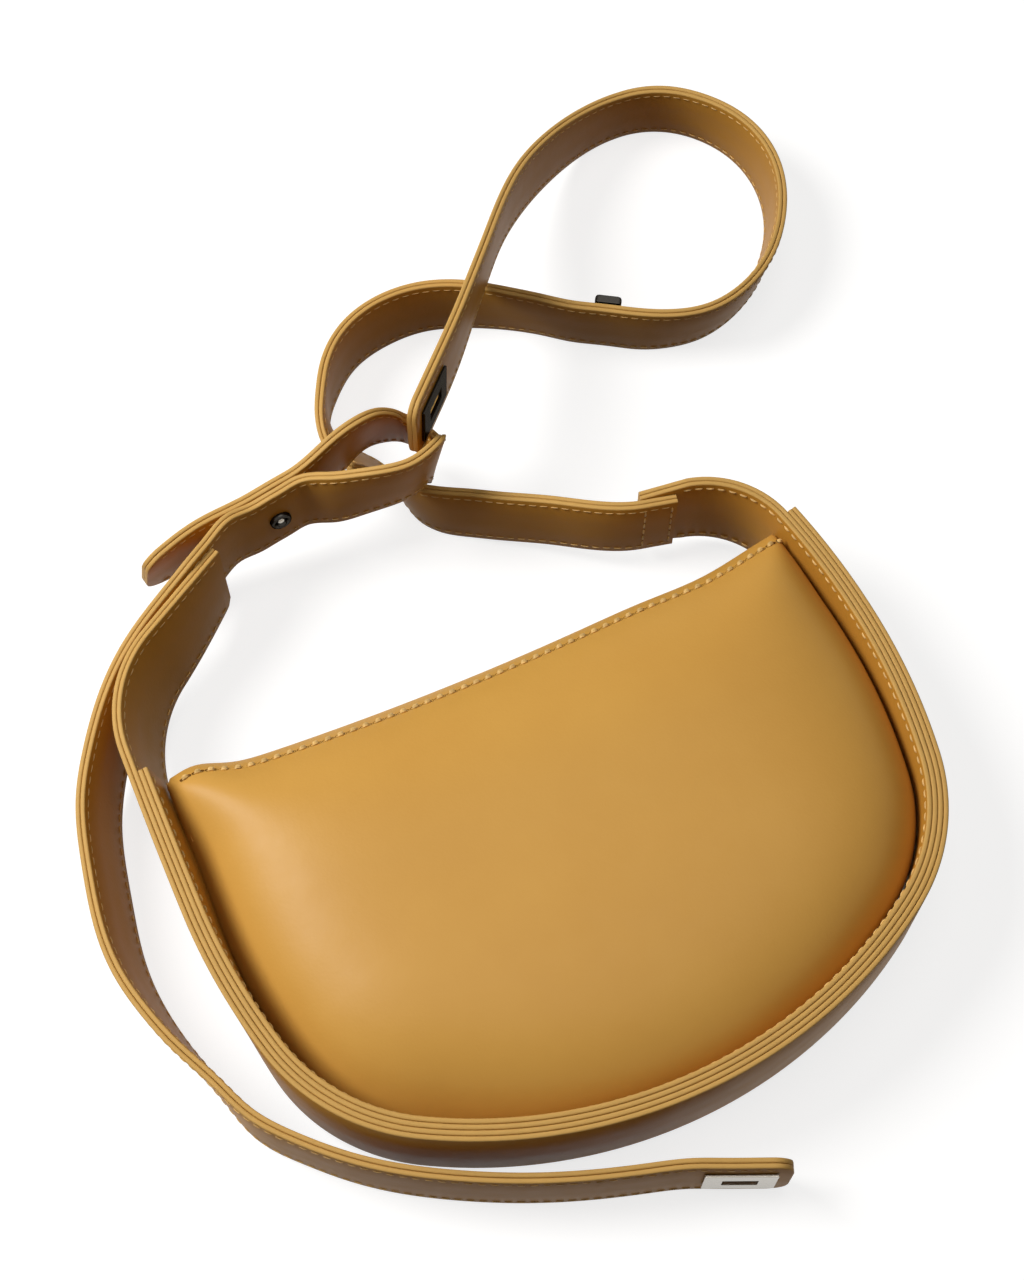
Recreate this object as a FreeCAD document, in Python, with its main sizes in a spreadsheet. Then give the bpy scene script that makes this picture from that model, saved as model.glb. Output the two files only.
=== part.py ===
# Saddle handbag lying on its back: a pillow body inside a wide double rim, with two long straps.
# Millimetres. X is to the right, Y towards the mouth, Z up out of the front panel, the table at Z = 0.
import FreeCAD
import Part
import math
import os
from FreeCAD import Matrix, Placement, Vector

SIZES = (
    # Rim line, seen from the front
    ("body_width", 220.0, "rim, outside, left to right"),
    ("widest_place", 30.0, "height of the widest line above the origin"),
    ("side_rise", 43.0, "widest line up to the corner line"),
    ("right_draw", 4.0, "how far the right side draws in over the side rise"),
    ("left_draw", 0.6, "how far the left side draws in over the side rise"),
    ("body_drop", 105.0, "widest line down to the bottom"),
    ("side_radius", 190.0, "lower part of the side"),
    ("side_turn", 14.0, "degrees turned by the lower part of the side"),
    ("corner_radius", 62.0, "bottom corners"),
    # Rim bands, two layers each
    ("band_width", 32.0, "front edge to back edge"),
    ("band_base", 6.0, "back edge above the table"),
    ("band_layer", 1.45, "one leather layer of a band"),
    ("glue_line", 0.1, "between glued layers"),
    ("right_tab_radius", 33.0, "outer line of the right tab"),
    ("right_tab_turn", 66.0, "degrees"),
    ("right_tab_run", 15.0, "straight end of the right tab"),
    ("right_tab_taper", 3.0, "narrowing of the right tab's end, at each edge"),
    ("left_tab_lead", 10.0, "straight start of the left tab"),
    ("left_tab_radius", 42.0, "outer line of the left tab"),
    ("left_tab_turn", 57.0, "degrees"),
    ("left_tab_run", 33.0, "straight end of the left tab"),
    ("left_tab_round", 3.0, "rounded back corner of the left tab"),
    ("left_tab_lean", 15.0, "degrees, most lean of the left tab"),
    ("tab_step", 3.5, "spacing of the left tab's sections"),
    ("inner_band_lead", 2.0, "inner band past the left corner line"),
    # Panels and lining
    ("panel_thickness", 1.6, "leather of the panels"),
    ("seam_gap", 0.15, "panel edge to inner band"),
    ("front_seam", 25.0, "front panel's seam above the table"),
    ("front_crown", 19.0, "front panel's rise above its seam"),
    ("back_seam", 13.0, "back panel's seam above the table"),
    ("crown_inset", 37.0, "rim to the flat top of a panel"),
    ("crown_drop", 32.0, "mouth corner to the flat top of a panel"),
    ("mouth_rise", 1.0, "mouth corners above the corner line"),
    ("mouth_dip", 6.0, "dip of the mouth edge at the middle"),
    ("lining_thickness", 0.6, "lining cloth"),
    ("lining_gap", 0.3, "lining to panel"),
    ("pocket_width", 84.0, "slip pocket"),
    ("pocket_depth", 40.0, "slip pocket"),
    ("pocket_place", 6.0, "slip pocket's middle above the origin"),
    ("pocket_cloth", 0.8, "slip pocket"),
    # Mouth facing and zip
    ("facing_depth", 14.0, "folded hem inside the mouth"),
    ("facing_thickness", 1.2, "folded hem"),
    ("facing_gap", 0.4, "ends of the hem to the inner band"),
    ("zip_drop", 4.0, "zip line below the middle of the mouth"),
    ("zip_margin", 13.9, "tape end to the rim's inside at its widest"),
    ("tape_above", 2.0, "tape above the zip line"),
    ("tape_below", 7.0, "tape below the zip line"),
    ("tape_thickness", 0.6, "zip tape"),
    ("tooth_pitch", 4.0, "zip teeth"),
    ("tooth_length", 2.0, "along the zip"),
    ("tooth_height", 2.4, "along Y"),
    ("tooth_depth", 1.6, "towards the other row"),
    ("tooth_margin", 7.0, "last tooth to tape end"),
    ("stop_length", 3.0, "zip end stops"),
    ("stop_margin", 1.0, "end stop to tape end"),
    ("slider_margin", 10.0, "slider's centre to the right end of the tape"),
    ("slider_length", 9.0, "zip slider"),
    ("slider_plate", 1.2, "zip slider's plates"),
    ("slider_gap", 0.3, "slider to teeth and tapes"),
    ("slider_wedge_length", 5.0, "zip slider's wedge"),
    ("bridge_length", 7.0, "zip slider's bridge, along the zip"),
    ("bridge_height", 4.4, "zip slider's bridge above its plate"),
    ("bridge_width", 1.6, "zip slider's bridge, across the zip"),
    ("bridge_bar", 0.9, "bar of the bridge"),
    ("pull_pin", 1.2, "zip pull's pin through the bridge, across"),
    ("pull_length", 18.0, "zip pull"),
    ("pull_width", 6.0, "zip pull"),
    ("pull_thickness", 1.0, "zip pull"),
    ("pull_cheek", 2.6, "zip pull's cheeks beside the bridge, across"),
    ("pull_gap", 0.35, "pull to bridge"),
    # Straps
    ("strap_width", 26.0, "both straps"),
    ("strap_layer", 1.45, "one leather layer of a strap"),
    ("strap_step", 7.0, "spacing of the strap's sections"),
    ("strap_reach", 123.0, "strap loops above the end of the left tab"),
    ("sewn_gap", 0.15, "strap to the tab it is sewn on"),
    ("right_sewn_run", 11.0, "right strap's overlap on its tab"),
    ("left_sewn_run", 6.0, "left belt's overlap on its tab"),
    ("left_sewn_lift", 8.0, "left belt's sewn end above the back edge of its tab"),
    ("strap_end_run", 25.0, "flat end of the right strap"),
    ("tail_end_run", 28.0, "flat end of the belt tail"),
    ("end_round", 6.0, "rounded corners of strap ends"),
    ("tail_gap", 0.35, "belt tail to belt at the bend"),
    # Hardware
    ("rivet_head", 7.0, "loop rivet, across"),
    ("rivet_head_height", 1.6, "loop rivet"),
    ("rivet_shank", 3.0, "loop rivet"),
    ("rivet_flat", 8.0, "half of the flat under the loop rivet"),
    ("rivet_turn", 2.0, "degrees, direction of the belt under the rivet"),
    ("fold_gap", 0.3, "folded belt end to belt"),
    ("metal_gap", 0.12, "hardware to leather"),
    ("lock_length", 15.0, "turn lock's base plate"),
    ("lock_height", 11.0, "turn lock's base plate"),
    ("lock_plate", 1.2, "turn lock's base plate"),
    ("lock_post", 3.4, "turn lock's post, across"),
    ("lock_flange", 0.6, "turn lock's flange between the strap's layers"),
    ("lock_flat", 11.0, "half of the flat under the turn lock"),
    ("lock_turn", -33.0, "degrees, direction of the strap under the lock"),
    ("collar_height", 4.2, "post above the base plate"),
    ("knob_length", 9.0, "turn lock's knob"),
    ("knob_height", 3.6, "turn lock's knob"),
    ("knob_thickness", 3.0, "turn lock's knob"),
    ("knob_gap", 0.3, "knob to post"),
    ("eyelet_length", 20.0, "eyelet plates"),
    ("eyelet_height", 14.0, "eyelet plates"),
    ("eyelet_plate", 1.0, "eyelet plates"),
    ("window_length", 9.8, "eyelet windows"),
    ("window_height", 5.0, "eyelet windows"),
    ("eyelet_margin", 4.0, "eyelet plate to strap end"),
    ("overrun", 2.0, "cutting tools past what they cut"),
)

# Panels rise on a quarter ellipse in this many steps, more gently from the mouth than from the rim
CROWN_STEPS = 6
MOUTH_POWER = 0.75
DIP_FADE = 3

# Strap routes: place across as a share of half the width; place up from the corner line, down to -1 of
# the body drop, up to 1 of the left tab's rise and from there of the strap reach; lift of the lower edge
# above the table as a share of the strap width; lean of the front edge to the right of the run, in degrees
RIGHT_START_SHARES = ((0.373, 0.607, 0.20, 0), (0.255, 0.759, 0.10, 0), (0.186, 0.855, 0.03, 0),
                      (0.118, 0.941, 0.0, -2), (0.057, 1.029, 0.0, -10), (0.02, 1.106, 0.0, -24),
                      (-0.022, 1.183, 0.0, -36), (-0.06, 1.252, 0.0, -30), (-0.075, 1.313, 0.0, -12),
                      (-0.062, 1.383, 0.0, 0), (-0.002, 1.471, 0.0, 0), (0.10, 1.55, 0.0, 0),
                      (0.227, 1.586, 0.0, 0), (0.355, 1.583, 0.0, 2), (0.473, 1.545, 0.0, 4),
                      (0.582, 1.485, 0.0, 8), (0.682, 1.417, 0.0, 10))
LOCK_PLACE_SHARES = (0.836, 1.316, 0.0, 10)
RIGHT_LOOP_SHARES = ((1.009, 1.231, 0.0, 12), (1.11, 1.214, 0.0, 14), (1.236, 1.235, 0.0, 14),
                     (1.355, 1.294, 0.0, 12), (1.455, 1.383, 0.0, 8), (1.527, 1.488, 0.0, 4),
                     (1.564, 1.611, 0.0, 0), (1.55, 1.741, 0.0, -5), (1.482, 1.855, 0.0, -9),
                     (1.373, 1.936, 0.0, -10), (1.236, 1.965, 0.0, -9), (1.09, 1.939, 0.08, -6),
                     (0.945, 1.871, 0.27, -3), (0.797, 1.771, 0.52, -2), (0.657, 1.642, 0.80, -4),
                     (0.528, 1.493, 1.09, -4), (0.425, 1.377, 1.24, -3), (0.318, 1.26, 1.35, -1))
STRAP_END_SHARES = (0.22, 1.162, 1.43, 0)
STRAP_TIP_SHARES = (0.066, 1.017, 1.52, 0)
FOLD_START_SHARES = ((-0.744, 1.06, 0.43, 17), (-0.671, 1.074, 0.44, 12), (-0.566, 1.087, 0.47, 6))
RIVET_PLACE_SHARES = (-0.336, 1.065, 0.577, 0)
RIVET_CLIMB_SHARE = 0.077
LOOP_SHARES = ((-0.129, 1.121, 0.91, 5), (-0.036, 1.151, 0.95, 12), (0.055, 1.177, 0.71, 16),
               (0.122, 1.163, 0.46, 14), (0.138, 1.116, 0.37, 0), (0.138, 1.07, 0.43, -8),
               (0.128, 1.029, 0.74, -12), (0.1, 0.971, 1.07, -11), (0.038, 0.932, 1.06, -10),
               (-0.032, 0.938, 1.03, -8), (-0.109, 0.986, 0.93, -4), (-0.182, 1.025, 0.80, 0))
BELT_TURN_SHARES = ((-0.482, 1.05, 0.56, 0),)
BELT_SIDE_SHARES = ((-0.667, 0.905, 0.48, 3), (-0.76, 0.799, 0.42, 6), (-0.849, 0.688, 0.34, 9),
                    (-0.935, 0.544, 0.26, 11), (-1.04, 0.294, 0.14, 13), (-1.102, 0.082, 0.07, 15),
                    (-1.143, -0.11, 0.02, 16), (-1.163, -0.22, 0.0, 16), (-1.177, -0.33, 0.0, 15),
                    (-1.177, -0.446, 0.0, 13), (-1.157, -0.57, 0.0, 10), (-1.122, -0.695, 0.0, 7),
                    (-1.077, -0.819, 0.0, 3))
TAIL_BEND_SHARES = (-1.032, -0.943, 0.0, 0)
TAIL_SHARES = ((-0.955, -1.048, 0.0, 0), (-0.859, -1.148, 0.0, 0), (-0.755, -1.233, 0.0, 0),
               (-0.636, -1.31, 0.0, 0), (-0.50, -1.384, 0.0, 0), (-0.355, -1.448, 0.0, 0),
               (-0.20, -1.503, 0.0, 0))
TAIL_END_SHARES = (-0.109, -1.535, 0.0, 0)
TAIL_TIP_SHARES = (0.127, -1.648, 0.0, 0)

doc = FreeCAD.newDocument("SaddleHandbag")
sheet = doc.addObject("Spreadsheet::Sheet", "Sizes")
for row, (alias, value, note) in enumerate(SIZES, start=1):
    sheet.set("A%d" % row, alias)
    sheet.set("B%d" % row, str(value))
    sheet.setAlias("B%d" % row, alias)
    sheet.set("C%d" % row, note)
doc.recompute()

nodes = []


def size(alias):
    return float(sheet.get(alias))


def bind(thing, **formulas):
    for name, formula in formulas.items():
        thing.setExpression(name, formula)


def keep(thing, label):
    thing.Label = label
    nodes.append(thing)
    return thing


def solid_node(label, shape):
    thing = doc.addObject("Part::Feature", label)
    thing.Shape = shape
    return keep(thing, label)


def heading(degrees):
    return Vector(math.cos(math.radians(degrees)), math.sin(math.radians(degrees)), 0)


def right_of(degrees):
    return heading(degrees - 90)


half_width = size("body_width") / 2
widest = size("widest_place")
corner_line = widest + size("side_rise")
bottom_line = widest - size("body_drop")
right_radius = (size("right_draw") ** 2 + size("side_rise") ** 2) / (2 * size("right_draw"))
right_turn = math.degrees(math.asin(size("side_rise") / right_radius))
left_radius = (size("left_draw") ** 2 + size("side_rise") ** 2) / (2 * size("left_draw"))
left_turn = math.degrees(math.asin(size("side_rise") / left_radius))
band_pitch = size("band_layer") + size("glue_line")
rim_depth = 4 * size("band_layer") + 3 * size("glue_line")
strap_thickness = 2 * size("strap_layer") + size("glue_line")


# Rim line as straight runs and right-hand arcs: (start point, heading, radius or None, length or turn)

def rim_track():
    side = size("side_radius")
    corner = size("corner_radius")
    side_centre = Vector(half_width - side, widest, 0)
    corner_centre = side_centre + heading(-size("side_turn")) * (side - corner)
    depth = corner_centre.y - bottom_line
    bottom = (corner_centre.x ** 2 + depth ** 2 - corner ** 2) / (2 * (depth - corner))
    bottom_centre = Vector(0, bottom_line + bottom, 0)
    reach = corner_centre - bottom_centre
    corner_turn = -math.degrees(math.atan2(reach.y, reach.x)) - size("side_turn")
    bottom_turn = 180 - 2 * (corner_turn + size("side_turn"))
    steps = (
        (None, size("right_tab_run")),
        (size("right_tab_radius"), size("right_tab_turn")),
        (right_radius, right_turn),
        (side, size("side_turn")),
        (corner, corner_turn),
        (bottom, bottom_turn),
        (corner, corner_turn),
        (side, size("side_turn")),
        (left_radius, left_turn),
        (None, size("left_tab_lead")),
        (size("left_tab_radius"), size("left_tab_turn")),
        (None, size("left_tab_run")),
    )
    corner_angle = right_turn + size("right_tab_turn")
    upper_centre = Vector(half_width - right_radius, widest, 0)
    tab_centre = upper_centre + heading(right_turn) * (right_radius - size("right_tab_radius"))
    place = tab_centre + heading(corner_angle) * size("right_tab_radius")
    place = place + heading(corner_angle + 90) * size("right_tab_run")
    track = []
    angle = corner_angle - 90
    for radius, amount in steps:
        track.append((place, angle, radius, amount))
        place, angle = along(track[-1], 0, 1)
    return track


def along(step, inset, share):
    place, angle, radius, amount = step
    if radius is None:
        return place + heading(angle) * (amount * share) + right_of(angle) * inset, angle
    turned = angle - amount * share
    centre = place + right_of(angle) * radius
    return centre - right_of(turned) * (radius - inset), turned


def step_edge(step, inset, first=0, last=1):
    start = along(step, inset, first)[0]
    end = along(step, inset, last)[0]
    if step[2] is None:
        return Part.LineSegment(start, end).toShape()
    middle = along(step, inset, (first + last) / 2)[0]
    return Part.Arc(start, middle, end).toShape()


def closed_face(edges):
    return Part.Face(Part.Wire(Part.__sortEdges__(edges)))


def patch(near_left, near_right, far_left, far_right):
    """Ruled face between two straight edges."""
    surface = Part.BSplineSurface()
    surface.buildFromPolesMultsKnots([[near_left, near_right], [far_left, far_right]],
                                     (2, 2), (2, 2), (0, 1), (0, 1), False, False, 1, 1)
    return surface.toShape()


def skinned(sections):
    """Solid with ruled faces from each four-cornered section to the next."""
    faces = [Part.Face(Part.makePolygon(end + end[:1])) for end in (sections[0], sections[-1])]
    for before, after in zip(sections, sections[1:]):
        for corner in range(4):
            faces.append(patch(before[corner - 1], before[corner], after[corner - 1], after[corner]))
    skin = Part.makeShell(faces)
    skin.sewShape()
    solid = Part.makeSolid(skin)
    if solid.Volume < 0:
        solid.reverse()
    return solid


# Positions in the rim track
RIGHT_TAB_INDEX = 0
RIGHT_UPPER_INDEX = 2
LEFT_UPPER_INDEX = 8
LEFT_LEAD_INDEX = 9
LEFT_TAB_INDEX = 11
track = rim_track()


def band_layer(number, first_step, last_step, last_share):
    near = number * band_pitch
    far = near + size("band_layer")
    edges = []
    for inset in (near, far):
        for index in range(first_step, last_step + 1):
            share = last_share if index == last_step else 1
            edges.append(step_edge(track[index], inset, 0, share))
    for step, share in ((track[first_step], 0), (track[last_step], last_share)):
        edges.append(Part.LineSegment(along(step, near, share)[0], along(step, far, share)[0]).toShape())
    face = closed_face(edges)
    face.translate(Vector(0, 0, size("band_base")))
    return face.extrude(Vector(0, 0, size("band_width")))


def tab_corner_cutter():
    """Removes the back corner of the left tab outside a quarter round."""
    radius = size("left_tab_round")
    end, angle = along(track[LEFT_TAB_INDEX], 0, 1)
    reach = radius + size("overrun")
    block = Part.makeBox(reach, 2 * rim_depth + size("overrun"), reach)
    block.translate(Vector(-radius, -rim_depth - size("overrun"), -size("overrun")))
    rod = Part.makeCylinder(radius, 2 * rim_depth + 3 * size("overrun"))
    middle = Vector(-radius, rim_depth + size("overrun"), radius)
    rod.Placement = Placement(middle, FreeCAD.Rotation(Vector(1, 0, 0), 90))
    cutter = block.cut(rod)
    corner = end + Vector(0, 0, size("band_base"))
    cutter.Placement = Placement(corner, FreeCAD.Rotation(Vector(0, 0, 1), angle))
    return cutter


def tab_taper_cutter(side):
    """Wedge that narrows the right tab's straight end at its front edge (side 1) or back edge (side -1)."""
    place, angle, radius, run = track[RIGHT_TAB_INDEX]
    over = size("overrun")
    edge = size("band_width") / 2
    slope = size("right_tab_taper") / run
    corners = [Vector(-over, over, side * (edge - slope * (run + over))), Vector(run, over, side * edge),
               Vector(run, over, side * (edge + over)), Vector(-over, over, side * (edge + over))]
    wedge = Part.Face(Part.makePolygon(corners + corners[:1])).extrude(Vector(0, -rim_depth - 2 * over, 0))
    middle = place + Vector(0, 0, size("band_base") + edge)
    wedge.Placement = Placement(middle, FreeCAD.Rotation(Vector(0, 0, 1), angle))
    return wedge


# Left tab: leans about its front edge, most at the middle of its run

def tab_section(step, share, lean, near, far):
    place, angle = along(step, 0, share)
    up = Vector(0, 0, 1)
    inwards = right_of(angle) * math.cos(lean) + up * math.sin(lean)
    down = right_of(angle) * math.sin(lean) - up * math.cos(lean)
    front = place + up * (size("band_base") + size("band_width"))
    back = front + down * size("band_width")
    return [back + inwards * near, back + inwards * far, front + inwards * far, front + inwards * near]


def tab_layer(number, lead_share):
    near = number * band_pitch
    steps = [(track[LEFT_LEAD_INDEX], lead_share)]
    steps += [(track[index], 0) for index in range(LEFT_LEAD_INDEX + 1, LEFT_TAB_INDEX + 1)]
    lengths = [(1 - start) * (step[3] if step[2] is None else step[2] * math.radians(step[3]))
               for step, start in steps]
    sections = []
    done = 0
    for (step, start), length in zip(steps, lengths):
        count = math.ceil(length / size("tab_step"))
        for index in range(1 if sections else 0, count + 1):
            run_share = (done + length * index / count) / sum(lengths)
            lean = math.radians(size("left_tab_lean")) * math.sin(math.pi * run_share)
            share = start + (1 - start) * index / count
            sections.append(tab_section(step, share, lean, near, near + size("band_layer")))
        done += length
    return skinned(sections)


def make_bands():
    corner = tab_corner_cutter()
    lead_share = size("inner_band_lead") / size("left_tab_lead")
    for number, label in ((0, "outer_band_outside"), (1, "outer_band_inside")):
        shape = band_layer(number, RIGHT_UPPER_INDEX, LEFT_LEAD_INDEX, lead_share)
        tab = tab_layer(number, lead_share).cut(corner)
        solid_node(label, shape.fuse(tab).removeSplitter())
    for number, label in ((2, "inner_band_outside"), (3, "inner_band_inside")):
        shape = band_layer(number, RIGHT_TAB_INDEX, LEFT_LEAD_INDEX, lead_share)
        solid_node(label, shape.cut(tab_taper_cutter(1)).cut(tab_taper_cutter(-1)))


# Panels: crowned shells lofted through outlines that draw in level by level

mouth_corner = corner_line + size("mouth_rise")
panel_inset = rim_depth + size("seam_gap")


def level_share(step, inset, level):
    """How far an upper side's arc has to turn from the widest line to reach a level, as a share of it."""
    radius, turn = step[2:]
    return math.degrees(math.asin((level - widest) / (radius - inset))) / turn


def level_ends(inset, level):
    """Left and right points of the rim line at a level above the widest line."""
    left_side = track[LEFT_UPPER_INDEX]
    right_side = track[RIGHT_UPPER_INDEX]
    left = along(left_side, inset, level_share(left_side, inset, level))[0]
    right = along(right_side, inset, 1 - level_share(right_side, inset, level))[0]
    return left, right


def panel_outline(inset, drop, dip, height):
    top = mouth_corner - drop
    left, right = level_ends(inset, top)
    left_side = track[LEFT_UPPER_INDEX]
    right_side = track[RIGHT_UPPER_INDEX]
    edges = [step_edge(right_side, inset, 1 - level_share(right_side, inset, top), 1)]
    for index in range(RIGHT_UPPER_INDEX + 1, LEFT_UPPER_INDEX):
        edges.append(step_edge(track[index], inset))
    edges.append(step_edge(left_side, inset, 0, level_share(left_side, inset, top)))
    edges.append(Part.Arc(left, Vector(0, top - dip, 0), right).toShape())
    wire = Part.Wire(edges)
    wire.translate(Vector(0, 0, height))
    return wire


def crown(seam, rise, skin):
    """Solid pillow half over its seam; skin is how far it lies inside the panel's outer face."""
    wires = []
    for step in range(CROWN_STEPS + 1):
        climb = math.pi / 2 * step / CROWN_STEPS
        inwards = 1 - math.cos(climb)
        inset = panel_inset + skin + size("crown_inset") * inwards
        drop = skin + size("crown_drop") * inwards ** MOUTH_POWER
        dip = size("mouth_dip") / (1 + DIP_FADE * inwards)
        height = seam + (rise - math.copysign(skin, rise)) * math.sin(climb)
        wires.append(panel_outline(inset, drop, dip, height))
    return Part.makeLoft(wires, True, True)


def shell(seam, rise, outside, inside):
    return crown(seam, rise, outside).cut(crown(seam, rise, inside))


def make_panels():
    lining_outside = size("panel_thickness") + size("lining_gap")
    lining_inside = lining_outside + size("lining_thickness")
    for side, seam, rise in (("front", size("front_seam"), size("front_crown")),
                             ("back", size("back_seam"), -size("back_seam"))):
        solid_node(side + "_panel", shell(seam, rise, 0, size("panel_thickness")))
        solid_node(side + "_lining", shell(seam, rise, lining_outside, lining_inside))
    pocket = doc.addObject("Part::Box", "slip_pocket")
    bind(pocket, Length="Sizes.pocket_width", Width="Sizes.pocket_depth", Height="Sizes.pocket_cloth")
    low = size("pocket_place") - size("pocket_depth") / 2
    pocket.Placement.Base = Vector(-size("pocket_width") / 2, low, lining_inside)
    keep(pocket, "slip_pocket")


# Mouth: folded hems, zip tapes, teeth, end stops, slider and pull

zip_line = mouth_corner - size("mouth_dip") - size("zip_drop")
zip_half = half_width - rim_depth - size("zip_margin")
slider_place = zip_half - size("slider_margin")
front_tape_top = size("front_seam") - size("facing_thickness")
back_tape_base = size("back_seam") + size("facing_thickness")
front_teeth_top = front_tape_top - size("tape_thickness")
back_teeth_base = back_tape_base + size("tape_thickness")
front_teeth_base = front_teeth_top - size("tooth_depth")
back_teeth_top = back_teeth_base + size("tooth_depth")
zip_middle = (front_teeth_base + back_teeth_top) / 2


def make_facings():
    inset = panel_inset + size("facing_gap")
    top_left, top_right = level_ends(inset, mouth_corner)
    low_left, low_right = level_ends(inset, mouth_corner - size("mouth_dip") - size("facing_depth"))
    edges = [
        Part.Arc(top_left, Vector(0, mouth_corner - size("mouth_dip"), 0), top_right).toShape(),
        Part.LineSegment(top_right, low_right).toShape(),
        Part.LineSegment(low_right, low_left).toShape(),
        Part.LineSegment(low_left, top_left).toShape(),
    ]
    plate = closed_face(edges).extrude(Vector(0, 0, size("facing_thickness")))
    for label, base in (("front_facing", front_tape_top), ("back_facing", size("back_seam"))):
        solid_node(label, plate.translated(Vector(0, 0, base)))


def make_zip():
    for label, base in (("zip_tape_front", front_teeth_top), ("zip_tape_back", back_tape_base)):
        tape = doc.addObject("Part::Box", label)
        bind(tape, Width="Sizes.tape_above + Sizes.tape_below", Height="Sizes.tape_thickness",
             Length="Sizes.body_width - 2 * (4 * Sizes.band_layer + 3 * Sizes.glue_line"
                    " + Sizes.zip_margin)")
        tape.Placement.Base = Vector(-zip_half, zip_line - size("tape_below"), base)
        keep(tape, label)
    rows = (("front", front_teeth_base), ("back", back_teeth_base))
    reach = zip_half - size("tooth_margin")
    count = int(2 * reach / size("tooth_pitch")) + 1
    start = -(count - 1) * size("tooth_pitch") / 2
    for side, base in rows:
        teeth = []
        for number in range(count):
            tooth = Part.makeBox(size("tooth_length"), size("tooth_height"), size("tooth_depth"))
            across = start + number * size("tooth_pitch") - size("tooth_length") / 2
            tooth.translate(Vector(across, zip_line - size("tooth_height") / 2, base))
            teeth.append(tooth)
        solid_node("zip_teeth_" + side, Part.makeCompound(teeth))
    stops = []
    for base in (front_teeth_base, back_teeth_base):
        for end in (-1, 1):
            stop = Part.makeBox(size("stop_length"), size("tooth_height"), size("tooth_depth"))
            centre = end * (zip_half - size("stop_margin") - size("stop_length") / 2)
            left = centre - size("stop_length") / 2
            stop.translate(Vector(left, zip_line - size("tooth_height") / 2, base))
            stops.append(stop)
    solid_node("zip_end_stops", Part.makeCompound(stops))


slider_top = zip_line + size("tooth_height") / 2 + size("slider_gap") + size("slider_plate")
pull_rise = (size("bridge_height") - size("bridge_bar")) / 2
pull_axis = Vector(slider_place, slider_top + pull_rise, zip_middle)


def box_at(label, formulas, base):
    box = doc.addObject("Part::Box", label)
    bind(box, **formulas)
    box.Placement.Base = base
    return box


def make_slider():
    low = back_teeth_base + size("slider_gap")
    left = slider_place - size("slider_length") / 2
    plates = []
    shift = size("tooth_height") / 2 + size("slider_gap")
    inner_base = zip_line - shift - size("slider_plate")
    for name, base in (("outer_plate", zip_line + shift), ("inner_plate", inner_base)):
        plates.append(box_at("slider_" + name, {
            "Length": "Sizes.slider_length",
            "Width": "Sizes.slider_plate",
            "Height": "Sizes.front_seam - Sizes.back_seam - 2 * (Sizes.facing_thickness"
                      " + Sizes.tape_thickness + Sizes.slider_gap)",
        }, Vector(left, base, low)))
    wedge_base = back_teeth_top + size("slider_gap")
    wedge = box_at("slider_wedge", {
        "Length": "Sizes.slider_wedge_length",
        "Width": "Sizes.tooth_height + 2 * Sizes.slider_gap",
        "Height": "Sizes.front_seam - Sizes.back_seam - 2 * (Sizes.facing_thickness"
                  " + Sizes.tape_thickness + Sizes.tooth_depth + Sizes.slider_gap)",
    }, Vector(slider_place - size("slider_wedge_length") / 2, zip_line - shift, wedge_base))
    bridge_base = Vector(slider_place - size("bridge_length") / 2, slider_top,
                         zip_middle - size("bridge_width") / 2)
    bridge = box_at("slider_bridge", {
        "Length": "Sizes.bridge_length", "Width": "Sizes.bridge_height", "Height": "Sizes.bridge_width",
    }, bridge_base)
    hole = box_at("slider_bridge_hole", {
        "Length": "Sizes.bridge_length - 2 * Sizes.bridge_bar",
        "Width": "Sizes.bridge_height - Sizes.bridge_bar",
        "Height": "Sizes.bridge_width + 2 * Sizes.overrun",
    }, bridge_base + Vector(size("bridge_bar"), 0, -size("overrun")))
    arch = doc.addObject("Part::Cut", "slider_arch")
    arch.Base = bridge
    arch.Tool = hole
    slider = doc.addObject("Part::MultiFuse", "zip_slider")
    slider.Shapes = plates + [wedge, arch]
    keep(slider, "zip_slider")


def make_pull():
    """Flat pull, forked round the bridge and pinned through it; it lies along the zip to the middle."""
    width = size("pull_width")
    thickness = size("pull_thickness")
    slot_width = size("bridge_width") + 2 * size("pull_gap")
    corner = math.hypot(size("bridge_length") / 2, size("bridge_height") - pull_rise)
    slot_reach = corner + size("pull_gap")
    cheeks = Part.makeCylinder(size("pull_cheek") / 2, width)
    cheeks.translate(Vector(0, 0, -width / 2))
    blade = Part.makeBox(size("pull_length"), thickness, width)
    blade.translate(Vector(-size("pull_length"), -thickness / 2, -width / 2))
    slot = Part.makeBox(slot_reach + size("pull_cheek"), size("pull_cheek") + thickness, slot_width)
    slot.translate(Vector(-slot_reach, -(size("pull_cheek") + thickness) / 2, -slot_width / 2))
    pin = Part.makeCylinder(size("pull_pin") / 2, width)
    pin.translate(Vector(0, 0, -width / 2))
    shape = cheeks.fuse(blade).cut(slot).fuse(pin)
    pull = solid_node("zip_pull", shape.removeSplitter())
    pull.Placement.Base = pull_axis


# Straps: ruled lofts through upright sections along a smooth route

tab_rise = along(track[LEFT_TAB_INDEX], 0, 1)[0].y - corner_line


def route_point(shares):
    across, up, lift, lean = shares
    height = corner_line + min(up, 0) * size("body_drop") + min(max(up, 0), 1) * tab_rise
    height += max(up - 1, 0) * size("strap_reach")
    return (across * half_width, height, lift * size("strap_width"), lean)


def run_points(centre, degrees, half_run, lift, climb, lean):
    """Two route points that bound a flat run; climb is the change of lift from its middle to its end."""
    ends = []
    for side in (-1, 1):
        point = centre + heading(degrees) * (side * half_run)
        ends.append((point.x, point.y, lift + side * climb, lean))
    return ends


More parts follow.
